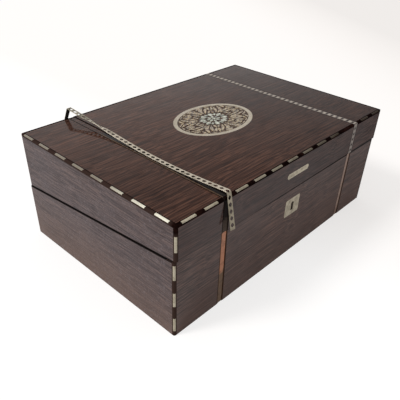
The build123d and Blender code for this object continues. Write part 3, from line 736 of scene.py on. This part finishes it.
@dataclass(frozen=True)
class Leather(Finish):
    """Worn writing leather with a double gilt line round it."""

    colour: Colour
    worn: Colour
    gilt: Colour
    low: tuple[float, float] = (0.0, 0.0)
    high: tuple[float, float] = (0.0, 0.0)
    line_insets: tuple[float, ...] = (7.0 * MM, 9.4 * MM)
    line_half: float = 0.35 * MM

    def inputs(self, paint: Paint, place: Value) -> dict[str, Any]:
        """Give what goes into the shader; its lines follow the sheet's own flat coordinates."""
        flat = paint.node("UVMap", {"uv_map": "Flat"})[0]
        u, v, _ = paint.parts(flat)
        pebble = paint.node("TexVoronoi", {"feature": "F1"},
                            {"Vector": place, "Scale": 900.0})["Distance"]
        wear = paint.noise(place, 16.0, 5.0, 0.65)
        hide = paint.mix(self.colour, self.worn, wear.above(0.5, 0.12) * 0.8)
        inset = paint.inset(u, v, self.low, self.high)
        lines = abs(inset - self.line_insets[0]).below(self.line_half)
        for distance in self.line_insets[1:]:
            lines = (lines + abs(inset - distance).below(self.line_half)).clamp()
        rubbed = paint.noise(place, 300.0, 3.0).above(0.42, 0.05)
        hide = paint.mix(hide, self.gilt, lines * rubbed)
        height = pebble * 0.5 - lines * 0.5
        return dict(Base_Color=hide, Roughness=0.55 - lines * rubbed * 0.2,
                    Metallic=lines * rubbed * 0.8, Normal=paint.bump(height, 0.2 * MM, 0.5),
                    Specular_IOR_Level=0.4)


@dataclass(frozen=True)
class Ribbon(Finish):
    """Woven silk ribbon."""

    colour: Colour
    shade: Colour

    def inputs(self, paint: Paint, place: Value) -> dict[str, Any]:
        """Give what goes into the shader."""
        x, y, _ = paint.parts(place)
        weave = (x * 9000.0).maths("SINE") * (y * 9000.0).maths("SINE") * 0.5 + 0.5
        cloth = paint.mix(self.colour, self.shade, weave * 0.6)
        return dict(Base_Color=cloth, Roughness=0.6, Normal=paint.bump(weave, 0.05 * MM, 0.6),
                    Sheen_Weight=0.3)


# ---------------------------------------------------------------- shared measures
def middle_of(node: str) -> Vector:
    """Give the middle of a node's box."""
    low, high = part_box(node)
    return (low + high) / 2


def mesh_of(node: str) -> bpy.types.Mesh:
    """Give a node's mesh."""
    return frame["nodes"][node].data


def widest_normal(node: str) -> Vector:
    """Give the normal of a node's largest face."""
    return max(mesh_of(node).polygons, key=lambda face: face.area).normal


def coat(names: Sequence[str], material: bpy.types.Material) -> None:
    """Put a material on CAD nodes."""
    for name in names:
        slots = mesh_of(name).materials
        slots.clear()
        slots.append(material)
        LOG.info("%s has %s", name, material.name)


def coat_faces(names: Sequence[str], material: bpy.types.Material, way: Vector) -> None:
    """Put a material on those faces of CAD nodes that look one way, over the one that they have.

    Args:
        names: The nodes.
        material: What the faces get.
        way: Where the faces look.
    """
    for name in names:
        data = mesh_of(name)
        data.materials.append(material)
        for face in data.polygons:
            if face.normal.dot(way) > 0.9:
                face.material_index = len(data.materials) - 1


def smooth_curves(names: Sequence[str]) -> None:
    """Shade CAD nodes smooth on their curves and sharp at their edges."""
    for name in names:
        mesh_of(name).shade_smooth()
        mesh_of(name).set_sharp_from_angle(angle=EDGE_ANGLE)


def new_object(name: str, data: bpy.types.ID) -> bpy.types.Object:
    """Put a mesh, camera or light into the scene."""
    made = bpy.data.objects.new(name, data)
    bpy.context.scene.collection.objects.link(made)
    return made


def new_piece(name: str, built: bmesh.types.BMesh, body: str, node: str) -> bpy.types.Object:
    """Bring a modelled mesh into the scene.

    Args:
        name: The piece's name.
        built: Its mesh, in the row's frame.
        body: The body that it rides on.
        node: The CAD node that it stands for.

    Returns:
        The piece.
    """
    mesh = bpy.data.meshes.new(name)
    built.to_mesh(mesh)
    built.free()
    piece = new_object(name, mesh)
    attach(piece, body)
    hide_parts(node)
    LOG.info("%s rides on %s", name, body)
    return piece


def modify(piece: bpy.types.Object, name: str, kind: str, **settings: Any) -> None:
    """Add a modifier of a kind, with its settings."""
    modifier = piece.modifiers.new(name, kind)
    for key, setting in settings.items():
        setattr(modifier, key, setting)


def seam_lie() -> Lie:
    """Work out the seam plane from the lid's hinge and the base flap's leather."""
    hinge = next(joint for joint in frame["joints"] if joint["name"] == "lid_hinge")
    normal = widest_normal("base_flap_leather")
    if normal.z < 0:
        normal = -normal
    return Lie(hinge["pos_m"][1], hinge["pos_m"][2], math.atan2(normal.y, normal.z))


# ---------------------------------------------------------------- sub-assemblies
@dataclass
class Veneer:
    """The veneered outside of the base and the lid."""

    lie: Lie
    lid_band_x: tuple[float, float]
    base_band_x: tuple[float, float]

    def grooves(self) -> tuple[Grooves, Grooves, Grooves, Grooves]:
        """Give the grooves in the lid's top, its front, the base's front and the lid's back."""
        low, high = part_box("lid_edge_string")
        lid_left, _ = self.lid_band_x
        base_left, base_right = self.base_band_x
        # shade is the painted shadow of the loose band on its groove floors
        soot, shade = rgb(22, 16, 14), rgb(24, 16, 14)
        left, right = (GrooveFloor(x, rgb(30, 23, 20), soot) for x in self.lid_band_x)
        # lid top floor: a tan strip on the left, painted shadow under the loose band over the rest
        top = GrooveFloor(lid_left, rgb(100, 80, 64), shade, residue=0.3, lip=2.2 * MM, bare_until=60.0 * MM)
        # lid front floor: painted shadow of the loose band's leg above 105 mm, its own colour below
        front = GrooveFloor(lid_left, shade, rgb(70, 58, 50), dull_below=105.0 * MM, residue=0.2)
        base_floors = (
            GrooveFloor(base_left, rgb(166, 112, 84), rgb(100, 76, 56), dull_below=42.0 * MM,
                        residue=0.3, rim=0.4 * MM),
            GrooveFloor(base_right, rgb(144, 120, 108), rgb(124, 98, 86), dull_below=12.0 * MM,
                        residue=0.2, rim=0.6 * MM))
        return (Grooves(2, high.z, (top, right)), Grooves(1, low.y, (front, right), polished=0.1),
                Grooves(1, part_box("base_front")[0].y, base_floors), Grooves(1, high.y, (left, right)))

    def build(self) -> None:
        """Dress the boards."""
        top_grooves, front_grooves, base_grooves, back_grooves = self.grooves()
        fine = {"thread_scale": (7.0, 620.0), "hair_scale": (24.0, 1300.0)}
        # the top's bloom, growing to the back and fading right, is painted sheen
        top = Rosewood("rosewood_top", Grain.ALONG_FRONT, rgb(30, 16, 11), rgb(60, 38, 30),
                       rgb(96, 65, 52), rgb(94, 66, 55), self.lie, top_grooves, polish=0.255,
                       polish_roughness=0.07, polish_lean=(5.2, 0.0), seed=3.1, bloom_and_sheen_share=0.18,
                       bloom_and_sheen_lean=(4.0, 6.0), weights=(0.6, 0.45, 1.7, 2.6), greyed=rgb(45, 38, 37),
                       **fine)
        lid_front = Rosewood("rosewood_lid_front", Grain.ALONG_FRONT, rgb(28, 17, 14), rgb(56, 38, 34),
                             rgb(86, 62, 54), rgb(66, 53, 52), self.lie, front_grooves, polish=0.42,
                             polish_lean=(0.0, 2.8), seed=9.4, seam_shadow=0.9 * MM, seam_widening=0.003,
                             weights=(0.5, 0.4, 1.5, 2.6), **fine)
        base_front = Rosewood("rosewood_base_front", Grain.ALONG_FRONT, rgb(32, 22, 19), rgb(72, 54, 49),
                              rgb(106, 80, 70), rgb(84, 70, 68), self.lie, base_grooves, polish=0.4,
                              polish_lean=(0.0, 2.2), seed=9.4, seam_shadow=1.4 * MM,
                              seam_widening=0.006, foot=rgb(84, 60, 51), foot_height=45.0 * MM,
                              weights=(0.4, 0.3, 1.0, 2.6), **fine)
        # the ends' grey bloom is mostly painted sheen
        ends = Rosewood("rosewood_ends", Grain.ALONG_END, rgb(50, 38, 36), rgb(84, 69, 67),
                        rgb(112, 92, 86), rgb(110, 101, 104), self.lie, polish=0.3,
                        polish_roughness=0.25, seed=5.7, crazing=0.4, seam_shadow=1.2 * MM,
                        bloom_and_sheen_share=0.45, foot=rgb(112, 88, 76), weights=(0.5, 0.4, 1.7, 2.8), **fine)
        back = Rosewood("rosewood_back", Grain.ALONG_FRONT, rgb(38, 26, 22), rgb(66, 48, 42),
                        rgb(96, 70, 58), rgb(84, 68, 64), self.lie, back_grooves, seed=14.2)
        lid_veneer, back_veneer, end_veneer = lid_front.dress(), back.dress(), ends.dress()
        fronts_and_backs = ["base_front", "lid_front", "base_back", "lid_back", "lid_top"]
        coat(["lid_top"], top.dress())
        coat(["lid_front"], lid_veneer)
        coat(["base_front"], base_front.dress())
        coat(["base_back", "lid_back"], back_veneer)
        coat(["base_left_end", "base_right_end", "lid_left_end", "lid_right_end"], end_veneer)
        coat_faces(["lid_top"], lid_veneer, Vector((0.0, -1.0, 0.0)))
        coat_faces(["lid_top"], back_veneer, Vector((0.0, 1.0, 0.0)))
        for side in (-1.0, 1.0):
            coat_faces(fronts_and_backs, end_veneer, Vector((side, 0.0, 0.0)))


@dataclass
class Stringing:
    """Dark stringing, the shell dashes in it and the dark lines beside the bands."""

    strings: tuple[str, ...] = ("base_string_left", "base_string_right", "lid_edge_string",
                                "lid_corner_strings")

    def build(self) -> None:
        """Dress the strings and the dashes."""
        low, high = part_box("lid_edge_string")
        # the string's left colour is painted sheen
        string = DarkString("dark_stringing", rgb(16, 8, 7), rgb(40, 22, 18), polish=0.0,
                            left=rgb(60, 46, 41), left_sheen_edge=low.x + 2.6 * MM,
                            corner=(low.y + 6.0 * MM, high.z - 9.0 * MM))
        lines = DarkString("dark_lines", rgb(22, 16, 14), rgb(50, 40, 34), roughness=0.6, polish=0.05)
        stained = DarkString("stained_lines", rgb(54, 38, 30), rgb(76, 54, 42), roughness=0.6, polish=0.05)
        left = Shell("shell_left", rgb(238, 233, 214), rgb(216, 208, 184), rgb(150, 138, 112),
                     dulled=rgb(122, 111, 94), dull_axis=1, dull_span=(-0.085, -0.015))
        front = Shell("shell_front", rgb(188, 178, 158), rgb(156, 146, 126), rgb(104, 92, 74),
                      dulled=rgb(48, 38, 28), specular=0.02)
        coat(self.strings, string.dress())
        coat(["lid_band_lines"], lines.dress())
        coat(["base_band_lines"], stained.dress())
        coat(["lid_pearls_left"], left.dress())
        coat(["lid_pearls_front", "base_pearls"], front.dress())
        smooth_curves(self.strings + ("lid_pearls_left", "lid_pearls_front", "base_pearls"))


class Course:
    """A line through points, with the distances along it."""

    def __init__(self, points: Sequence[Vector]) -> None:
        """Measure the line."""
        self.points = points
        self.runs = [0.0]
        for start, end in zip(points, points[1:]):
            self.runs.append(self.runs[-1] + (end - start).length)

    def point(self, run: float) -> Vector:
        """Give the point at a distance along the line."""
        run = min(max(run, 0.0), self.runs[-1])
        index = max(i for i, length in enumerate(self.runs[:-1]) if length <= run + TINY)
        stretch = self.runs[index + 1] - self.runs[index]
        share = 0.0 if stretch < TINY else (run - self.runs[index]) / stretch
        return self.points[index].lerp(self.points[index + 1], share)

    def heading(self, run: float, reach: float = 0.6 * MM) -> Vector:
        """Give the line's direction about a place, taken from a reach to each side of it."""
        return (self.point(run + reach) - self.point(run - reach)).normalized()


@dataclass
class LooseBand:
    """The pierced band that has sprung out of its groove in the lid's top."""

    half_width: float = 2.85 * MM
    thickness: float = 0.6 * MM
    pitch: float = 6.93 * MM
    hole_half_length: float = 2.35 * MM
    hole_half_width: float = 1.7 * MM
    bend_radius: float = 2.6 * MM
    offset_x: float = 1.25 * MM
    front_reach: float = 1.2 * MM
    leg: float = 39.0 * MM
    leg_splay: float = 7.0 * MM
    leg_drift: float = 0.8 * MM
    leg_turn: float = math.radians(-12.0)
    tail_turn: float = math.radians(18.0)
    first_margin: float = 1.6 * MM
    last_margin: float = 11.5 * MM
    front_rise: float = 5.6 * MM
    wave: tuple[tuple[float, float], ...] = ((-0.095, 0.0032), (-0.062, 0.0010), (-0.031, 0.0005),
                                             (-0.0015, 0.0009), (0.030, 0.0028), (0.052, 0.0046))
    kink_y: float = 67.0 * MM
    kink_rise: float = 5.6 * MM
    tail_rise: float = 13.6 * MM
    tail_inset: float = 0.9 * MM
    tail_yaw: float = math.radians(6.3)
    twist: float = math.radians(36.0)
    twist_lead: float = 3.0 * MM
    twist_reach: float = 12.0 * MM
    tail_foot: tuple[float, float] = (3.2 * MM, 1.2 * MM)    # how far left and before its bend the end is
    steps_per_bend: int = 6
    edge_bevel: float = 0.12 * MM

    def route(self, groove_x: float, front: float, back: float, top: float) -> list[Vector]:
        """Work out the band's middle line.

        Args:
            groove_x: The middle of its groove.
            front: The base's front face, along Y.
            back: The lid's back face, along Y.
            top: The lid's top.

        Returns:
            The line's corners in order, from the front leg's foot to the back leg's.
        """
        x = groove_x + self.offset_x
        bend_z = top + self.front_rise
        foot_z = bend_z - math.sqrt(self.leg ** 2 - self.leg_splay ** 2)
        bend_y = front - self.front_reach
        points = [Vector((x + self.leg_drift, bend_y - self.leg_splay, foot_z)), Vector((x, bend_y, bend_z))]
        points += [Vector((x, y, top + rise + self.thickness / 2)) for y, rise in self.wave]
        points.append(Vector((x, self.kink_y, top + self.kink_rise)))
        back_y = back - self.tail_inset
        tail_x = x - (back_y - self.kink_y) * math.tan(self.tail_yaw)
        points.append(Vector((tail_x, back_y, top + self.tail_rise)))
        left, forward = self.tail_foot
        points.append(Vector((tail_x - left, back_y - forward, top + self.thickness / 2)))
        return points

    def rounded(self, corners: Sequence[Vector]) -> list[Vector]:
        """Round a line's corners with short curves."""
        line = [corners[0]]
        for before, corner, after in zip(corners, corners[1:], corners[2:]):
            turn = (corner - before).angle(after - corner)
            shortest = min((corner - before).length, (after - corner).length)
            reach = min(self.bend_radius * math.tan(turn / 2), 0.45 * shortest)
            if turn < math.radians(20):
                reach = 0.45 * shortest
            start = corner + (before - corner).normalized() * reach
            end = corner + (after - corner).normalized() * reach
            for step in range(self.steps_per_bend + 1):
                t = step / self.steps_per_bend
                line.append(start * (1 - t) ** 2 + corner * 2 * t * (1 - t) + end * t ** 2)
        line.append(corners[-1])
        return line

    def cell_columns(self) -> list[tuple[float, float]]:
        """Give the places along one hole's cell and the hole's half width at each."""
        middle, reach = self.pitch / 2, self.hole_half_length
        shape = ((0.0, 0.0), (middle - reach, 0.0), (middle - reach * 0.6, 0.66), (middle - reach * 0.2, 1.0),
                 (middle + reach * 0.2, 1.0), (middle + reach * 0.6, 0.66), (middle + reach, 0.0))
        return [(place, share * self.hole_half_width) for place, share in shape]

    def across(self, point: Vector, ahead: Vector, run: float, back: float) -> Vector:
        """Give the direction across the band, with the turn of its ends and its twist in it.

        Args:
            point: The place on the band's middle line.
            ahead: The line's direction there.
            run: The distance along the line.
            back: The lid's back face, along Y.

        Returns:
            The direction, of length one.
        """
        down_leg = max(0.0, 1.0 - run / self.leg)
        up_tail = min(max((point.y - self.kink_y) / (back - self.kink_y), 0.0), 1.0)
        turn = self.leg_turn * down_leg + self.tail_turn * up_tail
        side = Vector((math.cos(turn), math.sin(turn), 0.0))
        side = (side - ahead * side.dot(ahead)).normalized()
        past_twist = (point.y - self.kink_y - self.twist_lead) / self.twist_reach
        lean = self.twist * math.exp(-past_twist ** 2) if point.y >= 0.0 else 0.0
        return (Matrix.Rotation(lean, 3, ahead) @ side).normalized()

    def build(self, groove_x: float, front: float, back: float, top: float) -> bpy.types.Object:
        """Model the band.

        Args:
            groove_x: The middle of its groove.
            front: The base's front face, along Y.
            back: The lid's back face, along Y.
            top: The lid's top.

        Returns:
            The band.
        """
        course = Course(self.rounded(self.route(groove_x, front, back, top)))
        total = course.runs[-1]
        cells = int((total - self.first_margin - self.last_margin) / self.pitch)
        columns = [(0.0, 0.0)]
        for cell in range(cells):
            start = self.first_margin + cell * self.pitch
            columns += [(start + place, half) for place, half in self.cell_columns()]
        columns += [(self.first_margin + cells * self.pitch, 0.0), (total, 0.0)]
        mesh = bmesh.new()
        rows: list[list[bmesh.types.BMVert]] = []
        for run, hole_half in columns:
            point = course.point(run)
            side = self.across(point, course.heading(run), run, back)
            inner = (-hole_half, hole_half) if hole_half else (0.0,)
            places = (-self.half_width, *inner, self.half_width)
            rows.append([mesh.verts.new(point + side * place) for place in places])
        for near, far in zip(rows, rows[1:]):
            mesh.faces.new((near[0], near[1], far[1], far[0]))
            mesh.faces.new((near[-2], near[-1], far[-1], far[-2]))
        piece = new_piece("loose_band_strip", mesh, "lid", "band_loose")
        # its other side takes the second material, which is painted shade
        modify(piece, "Thickness", "SOLIDIFY", thickness=self.thickness, offset=0.0,
               use_even_offset=True, material_offset=1)
        modify(piece, "Edges", "BEVEL", width=self.edge_bevel, segments=1, limit_method="ANGLE")
        return piece


@dataclass
class Bands:
    """Both pierced bands, one set in its groove and one loose."""

    loose: LooseBand = field(default_factory=LooseBand)
    pitch: float = 6.9 * MM
    turn_down: float = 2.0 * MM     # what the set band's corner takes of its upright run

    def hole_start(self, length: float, low: float) -> float:
        """Give the first hole's middle in a row centred on a run, from its length and its low end."""
        count = int(length / self.pitch)
        return low + (length - (count - 1) * self.pitch) / 2

    def build(self) -> None:
        """Model the loose band and dress both."""
        low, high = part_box("lid_edge_string")
        base_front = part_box("base_front")[0].y
        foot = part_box("band_right")[0].z
        right = SetBand(
            "set_band", rgb(168, 156, 144), rgb(74, 62, 58), roughness=0.42, share=0.3,
            middle_x=middle_of("band_right").x, first_y=self.hole_start(high.y - low.y, low.y),
            first_z=self.hole_start(high.z - foot - self.turn_down, foot), front_y=low.y)
        coat(["band_right"], right.dress())
        groove = low.x + high.x - middle_of("band_right").x
        strip = self.loose.build(groove, base_front, high.y, high.z)
        metal = LooseMetal("loose_band_metal", rgb(188, 177, 160), rgb(112, 104, 88), roughness=0.38,
                           share=0.38, dull_from_y=62.0 * MM, shade_front_y=base_front)
        # the band's other side: near-black painted shade
        under = Metal("loose_band_underside_shade", rgb(34, 31, 28), rgb(18, 16, 14), roughness=0.6, metallic=0.4)
        strip.data.materials.append(metal.dress())
        strip.data.materials.append(under.dress())


@dataclass
class Roundel:
    """The oval inlay in the lid's top."""

    def build(self) -> None:
        """Dress its ring, ground, leaves and rosette."""
        ring = Shell("roundel_ring_shell", rgb(176, 164, 144), rgb(144, 132, 113), rgb(120, 108, 90),
                     roughness=0.38)
        leaves = Shell("roundel_leaves", rgb(178, 164, 136), rgb(132, 112, 84), rgb(52, 36, 28),
                       roughness=0.34, patch=185.0,
                       hues=(rgb(54, 36, 26), rgb(206, 192, 164), rgb(108, 90, 70),
                             rgb(212, 188, 138), rgb(156, 134, 118), rgb(74, 50, 34)))
        petals = Shell("roundel_petals", rgb(172, 178, 160), rgb(128, 126, 118), rgb(56, 50, 44),
                       roughness=0.3, patch=160.0,
                       hues=(rgb(92, 88, 84), rgb(180, 190, 160), rgb(128, 124, 128),
                             rgb(196, 188, 166), rgb(204, 208, 190)))
        ground = GroundInlay("roundel_dark_ground", rgb(48, 32, 26), rgb(98, 72, 52))
        coat(["roundel_ring"], ring.dress())
        coat(["roundel_scrolls"], leaves.dress())
        coat(["roundel_rosette"], petals.dress())
        coat(["roundel_ground"], ground.dress())


@dataclass
class Fittings:
    """Plates, lock, hinges and screws."""

    brass: tuple[str, ...] = ("base_hinge_leaf_left", "base_hinge_leaf_right", "hinge_pins",
                              "lid_hinge_leaf_left", "lid_hinge_leaf_right", "base_flap_hinge_leaves",
                              "lid_flap_hinge_leaves", "base_flap_hinge_plates", "lid_flap_hinge_plates",
                              "base_screws", "lid_screws", "ink_bottle_caps")
    lock: tuple[str, ...] = ("lock_case", "lock_plate", "lock_bolt", "strike_plate")

    def build(self) -> None:
        """Dress the metalwork."""
        for node, name in (("nameplate", "name_plate_metal"), ("escutcheon", "escutcheon_metal")):
            low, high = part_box(node)
            plate = Plate(name, rgb(174, 164, 144), rgb(126, 117, 101), roughness=0.45,
                          share=0.46, low=(low.x, low.z), high=(high.x, high.z))
            coat([node], plate.dress())
        brass = Metal("worn_brass", rgb(206, 172, 104), rgb(124, 92, 48), share=0.5)
        lock = Metal("lock_brass", rgb(188, 160, 104), rgb(98, 78, 48), share=0.55)
        coat(self.brass, brass.dress())
        coat(self.lock, lock.dress())
        smooth_curves(self.brass + self.lock)


@dataclass
class PenPlace:
    """Partition, dividers, pen tray and ink bottles."""

    wood: tuple[str, ...] = ("base_bottom", "well_partition", "pen_tray", "ink_floors", "base_flap_ledges",
                             "lid_flap_ledges", "base_flap_board", "lid_flap_board")
    upright: tuple[str, ...] = ("ink_divider_left", "ink_divider_right", "pen_tray_rests")

    def build(self) -> None:
        """Dress the inside."""
        inside = PlainWood("inside_wood", rgb(74, 40, 26), rgb(122, 72, 46))
        dividers = PlainWood("divider_wood", rgb(70, 38, 24), rgb(116, 68, 44), grain=Grain.ALONG_END)
        glass = Glass("bottle_glass", rgb(214, 232, 226))
        coat(self.wood, inside.dress())
        coat(self.upright, dividers.dress())
        coat(["ink_bottle_left", "ink_bottle_right"], glass.dress())
        smooth_curves(["pen_tray", "ink_bottle_left", "ink_bottle_right"])


@dataclass
class WritingFlap:
    """One flap's leather and its ribbon pull, modelled as sheets over their boards."""

    body: str
    board_node: str
    leather_node: str
    tab_node: str
    leather_faces: tuple[int, int] = (60, 40)    # along the front and up the slope
    ribbon_faces: tuple[int, int] = (8, 16)
    roll: float = 1.1 * MM      # how far in from its edge the leather rounds down
    ripple: float = 0.05 * MM
    ribbon_thickness: float = 0.25 * MM

    def axes(self) -> tuple[Vector, Vector, Vector]:
        """Give the leather's own axes: along the front, up the slope and out of its face."""
        normal = widest_normal(self.leather_node).normalized()
        if normal.dot(middle_of(self.leather_node) - middle_of(self.board_node)) < 0:
            normal = -normal
        along = Vector((1.0, 0.0, 0.0))
        return along, normal.cross(along).normalized(), normal

    def spans(self, node: str) -> list[tuple[float, float]]:
        """Give a node's low and high end along each of the leather's own axes."""
        reaches = [[vertex.co.dot(axis) for vertex in mesh_of(node).vertices] for axis in self.axes()]
        return [(min(reach), max(reach)) for reach in reaches]

    def sheet_mesh(self, node: str, faces: tuple[int, int],
                   height: Callable[[float, float], float]) -> bmesh.types.BMesh:
        """Model a thin sheet in the place of a flat node.

        Args:
            node: The node.
            faces: How many faces it has along the front and up the slope.
            height: The face's height over its under side at a place on the sheet.

        Returns:
            The sheet's face, with its flat coordinates in a map of its own.
        """
        columns, rows = faces
        along, upward, outward = self.axes()
        (u0, u1), (v0, v1), (under, _) = self.spans(node)
        mesh = bmesh.new()
        grid: list[list[bmesh.types.BMVert]] = []
        flat = {}
        for row in range(rows + 1):
            v = v0 + (v1 - v0) * row / rows
            grid.append([])
            for column in range(columns + 1):
                u = u0 + (u1 - u0) * column / columns
                vertex = mesh.verts.new(along * u + upward * v + outward * (under + height(u, v)))
                flat[vertex] = (u, v)
                grid[-1].append(vertex)
        for near, far in zip(grid, grid[1:]):
            for column in range(columns):
                mesh.faces.new((near[column], near[column + 1], far[column + 1], far[column]))
        layer = mesh.loops.layers.uv.new("Flat")
        for face in mesh.faces:
            for loop in face.loops:
                loop[layer].uv = flat[loop.vert]
        return mesh

    def lay(self, name: str, sheet: bmesh.types.BMesh, node: str, thickness: float,
            material: bpy.types.Material) -> None:
        """Make a dressed piece of a sheet.

        Args:
            name: The piece's name.
            sheet: The sheet's face.
            node: The node that it stands for.
            thickness: The sheet's thickness, added below its face.
            material: What it is made of.
        """
        piece = new_piece(name, sheet, self.body, node)
        modify(piece, "Thickness", "SOLIDIFY", thickness=thickness, offset=-1.0)
        piece.data.materials.append(material)
        piece.data.shade_smooth()
        (u0, u1), (v0, v1), _ = self.spans(node)
        u1 - u0
        v1 - v0

    def build(self, leather: Leather, ribbon: bpy.types.Material) -> None:
        """Model and dress both sheets.

        Args:
            leather: The leather's finish, without its limits.
            ribbon: The ribbon's material.
        """
        (u0, u1), (v0, v1), (under, over) = self.spans(self.leather_node)
        full = over - under
        _, (t0, t1), (low, high) = self.spans(self.tab_node)

        def leather_height(u: float, v: float) -> float:
            """Round the leather down at its edges, with a slight ripple."""
            inset = min(u - u0, u1 - u, v - v0, v1 - v)
            share = min(inset / self.roll, 1.0)
            crossed = math.sin(u * 61.0) * math.cos(v * 43.0) + math.sin(u * 23.0 + v * 37.0)
            waves = 0.5 + 0.25 * crossed
            return full * (0.55 + 0.45 * math.sqrt(share)) - self.ripple * waves * share

        def tab_height(u: float, v: float) -> float:
            """Let the ribbon lie with one low wave along it."""
            share = (v - t0) / (t1 - t0)
            return (high - low) * (0.72 + 0.26 * math.sin(share * 7.0))

        own = replace(leather, name=f"{leather.name}_{self.body}", low=(u0, v0), high=(u1, v1))
        hide, pull = self.leather_node + "_sheet", self.tab_node + "_ribbon"
        face = self.sheet_mesh(self.leather_node, self.leather_faces, leather_height)
        self.lay(hide, face, self.leather_node, 0.5 * full, own.dress())
        face = self.sheet_mesh(self.tab_node, self.ribbon_faces, tab_height)
        self.lay(pull, face, self.tab_node, self.ribbon_thickness, ribbon)


@dataclass
class Setting:
    """Camera, floor and lights."""

    azimuth: float = math.radians(-47.686)
    elevation: float = math.radians(35.470)
    roll: float = math.radians(2.005)
    distance: float = 0.5048
    target: Vector = field(default_factory=lambda: Vector((-0.08701, -0.06337, 0.060)))
    focal_pixels: float = 478.87
    image_pixels: float = 400.0
    centre: tuple[float, float] = (200.0, 222.51)
    sensor: float = 36.0
    floor_size: float = 8.0
    floor_lift: float = 0.685   # light that the camera sees on the floor over its own
    glossy_lift: float = 0.15
    clear_lift: float = 0.42
    floor_seen: Colour = (0.42, 0.404, 0.392, 1.0)
    floor_lit: Colour = (0.88, 0.88, 0.88, 1.0)
    near_dusk: float = 0.07     # painted shade: how much darker the floor is on the right
    near_reach: float = 0.15
    dusk_from: float = 0.38     # how far off to the right and the front the painted shade of the floor deepens
    dusk_most: float = 0.14
    dusk_warmth: float = 8.0
    dusk_colour: Colour = (1.0, 0.965, 0.94, 1.0)
    sky: float = 0.62
    lamp_energy: float = 1.5
    lamp_angle: float = math.radians(15)
    lamp_from: Vector = field(default_factory=lambda: Vector((-0.9, 0.47, 1.0)))
    white: Colour = (1.0, 1.0, 1.0, 1.0)
    black: Colour = (0.0, 0.0, 0.0, 1.0)

    def camera(self) -> None:
        """Set up the camera at the photograph's angle."""
        flat = math.cos(self.elevation)
        back = Vector((math.sin(self.azimuth) * flat, -math.cos(self.azimuth) * flat,
                       math.sin(self.elevation)))
        level = Vector((0.0, 0.0, 1.0)).cross(back).normalized()
        upright = back.cross(level)
        cosine, sine = math.cos(self.roll), math.sin(self.roll)
        right = level * cosine + upright * sine
        up = upright * cosine - level * sine
        data = bpy.data.cameras.new("view")
        data.sensor_width = self.sensor
        data.lens = self.focal_pixels / self.image_pixels * self.sensor
        middle = self.image_pixels / 2
        data.shift_x = (middle - self.centre[0]) / self.image_pixels
        data.shift_y = (self.centre[1] - middle) / self.image_pixels
        data.clip_start = 0.01
        camera = new_object("view", data)
        place = self.target + back * self.distance
        camera.matrix_world = Matrix((
            (right.x, up.x, back.x, place.x),
            (right.y, up.y, back.y, place.y),
            (right.z, up.z, back.z, place.z),
            (0.0, 0.0, 0.0, 1.0)))
        bpy.context.scene.camera = camera

    def floor(self) -> None:
        """Lay a pale floor that keeps the shadow and looks white elsewhere, under a painted shade to the
        right and far off.
        """
        half = self.floor_size / 2
        mesh = bpy.data.meshes.new("floor")
        mesh.from_pydata([(-half, -half, 0), (half, -half, 0), (half, half, 0), (-half, half, 0)], [],
                         [(0, 1, 2, 3)])
        new_object("floor", mesh)
        paint = Paint.of("floor_white")
        rays = paint.node("LightPath")
        seen = rays["Is Camera Ray"]
        x, y, _ = paint.parts(paint.place())
        # painted shade: the floor darker and warmer to the right and far off
        far = (x - y * 0.6 - self.dusk_from).at_least(0.0)
        dusk = (x / self.near_reach).clamp() * self.near_dusk
        dusk = dusk + (far * far * 0.5).at_most(self.dusk_most)
        lift = seen * (self.floor_lift - dusk) + rays["Is Glossy Ray"] * self.glossy_lift
        lift = lift + rays["Is Transmission Ray"] * self.clear_lift
        tone = paint.mix(self.floor_lit, self.floor_seen, seen)
        plain = paint.node("BsdfDiffuse", None, {"Color": tone})["BSDF"]
        warm = paint.mix(self.white, self.dusk_colour, (dusk * self.dusk_warmth).clamp())
        light = paint.mix(self.black, warm, lift)
        glow = paint.node("Emission", None, {"Color": light})["Emission"]
        both = paint.node("AddShader", None, {0: plain, 1: glow})[0]
        paint.node("OutputMaterial", None, {"Surface": both})
        mesh.materials.append(paint.owner)

    def world(self) -> None:
        """Light the scene evenly, and show white to the camera, to metal and to glass."""
        paint = Paint(bpy.data.worlds.new("studio"))
        rays = paint.node("LightPath")
        seen = rays["Is Camera Ray"].at_least(rays["Is Glossy Ray"]).at_least(rays["Is Transmission Ray"])
        colour = paint.mix((self.sky, self.sky, self.sky, 1.0), self.white, seen)
        light = paint.node("Background", None, {"Color": colour})[0]
        paint.node("OutputWorld", None, {"Surface": light})
        bpy.context.scene.world = paint.owner

    def lamp(self) -> None:
        """Add one soft light from the left and behind."""
        data = bpy.data.lights.new("window", "SUN")
        data.energy = self.lamp_energy
        data.angle = self.lamp_angle
        new_object("window", data).rotation_euler = self.lamp_from.to_track_quat("Z", "Y").to_euler()

    def build(self) -> None:
        """Set everything up."""
        self.camera()
        self.floor()
        self.world()
        self.lamp()
        bpy.context.scene.view_settings.view_transform = "Standard"


def main() -> None:
    """Build the classes in order."""
    logging.basicConfig(level=logging.INFO, format="%(name)s: %(message)s")
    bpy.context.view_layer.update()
    lie = seam_lie()
    lid_middle, set_band = middle_of("lid_edge_string").x, middle_of("band_right").x
    base_middle = middle_of("base_band_lines").x
    offset = set_band - lid_middle
    Veneer(lie, (lid_middle - offset, set_band), (base_middle - offset, base_middle + offset)).build()
    Stringing().build()
    Bands().build()
    Roundel().build()
    Fittings().build()
    PenPlace().build()
    leather = Leather("slope_leather", rgb(44, 58, 40), rgb(66, 78, 56), rgb(186, 150, 84))
    ribbon = Ribbon("silk_ribbon", rgb(112, 34, 32), rgb(72, 18, 20)).dress()
    for body in ("base_flap", "lid_flap"):
        WritingFlap(body, f"{body}_board", f"{body}_leather", f"{body}_tab").build(leather, ribbon)
    Setting().build()


if __name__ == "__main__":
    main()
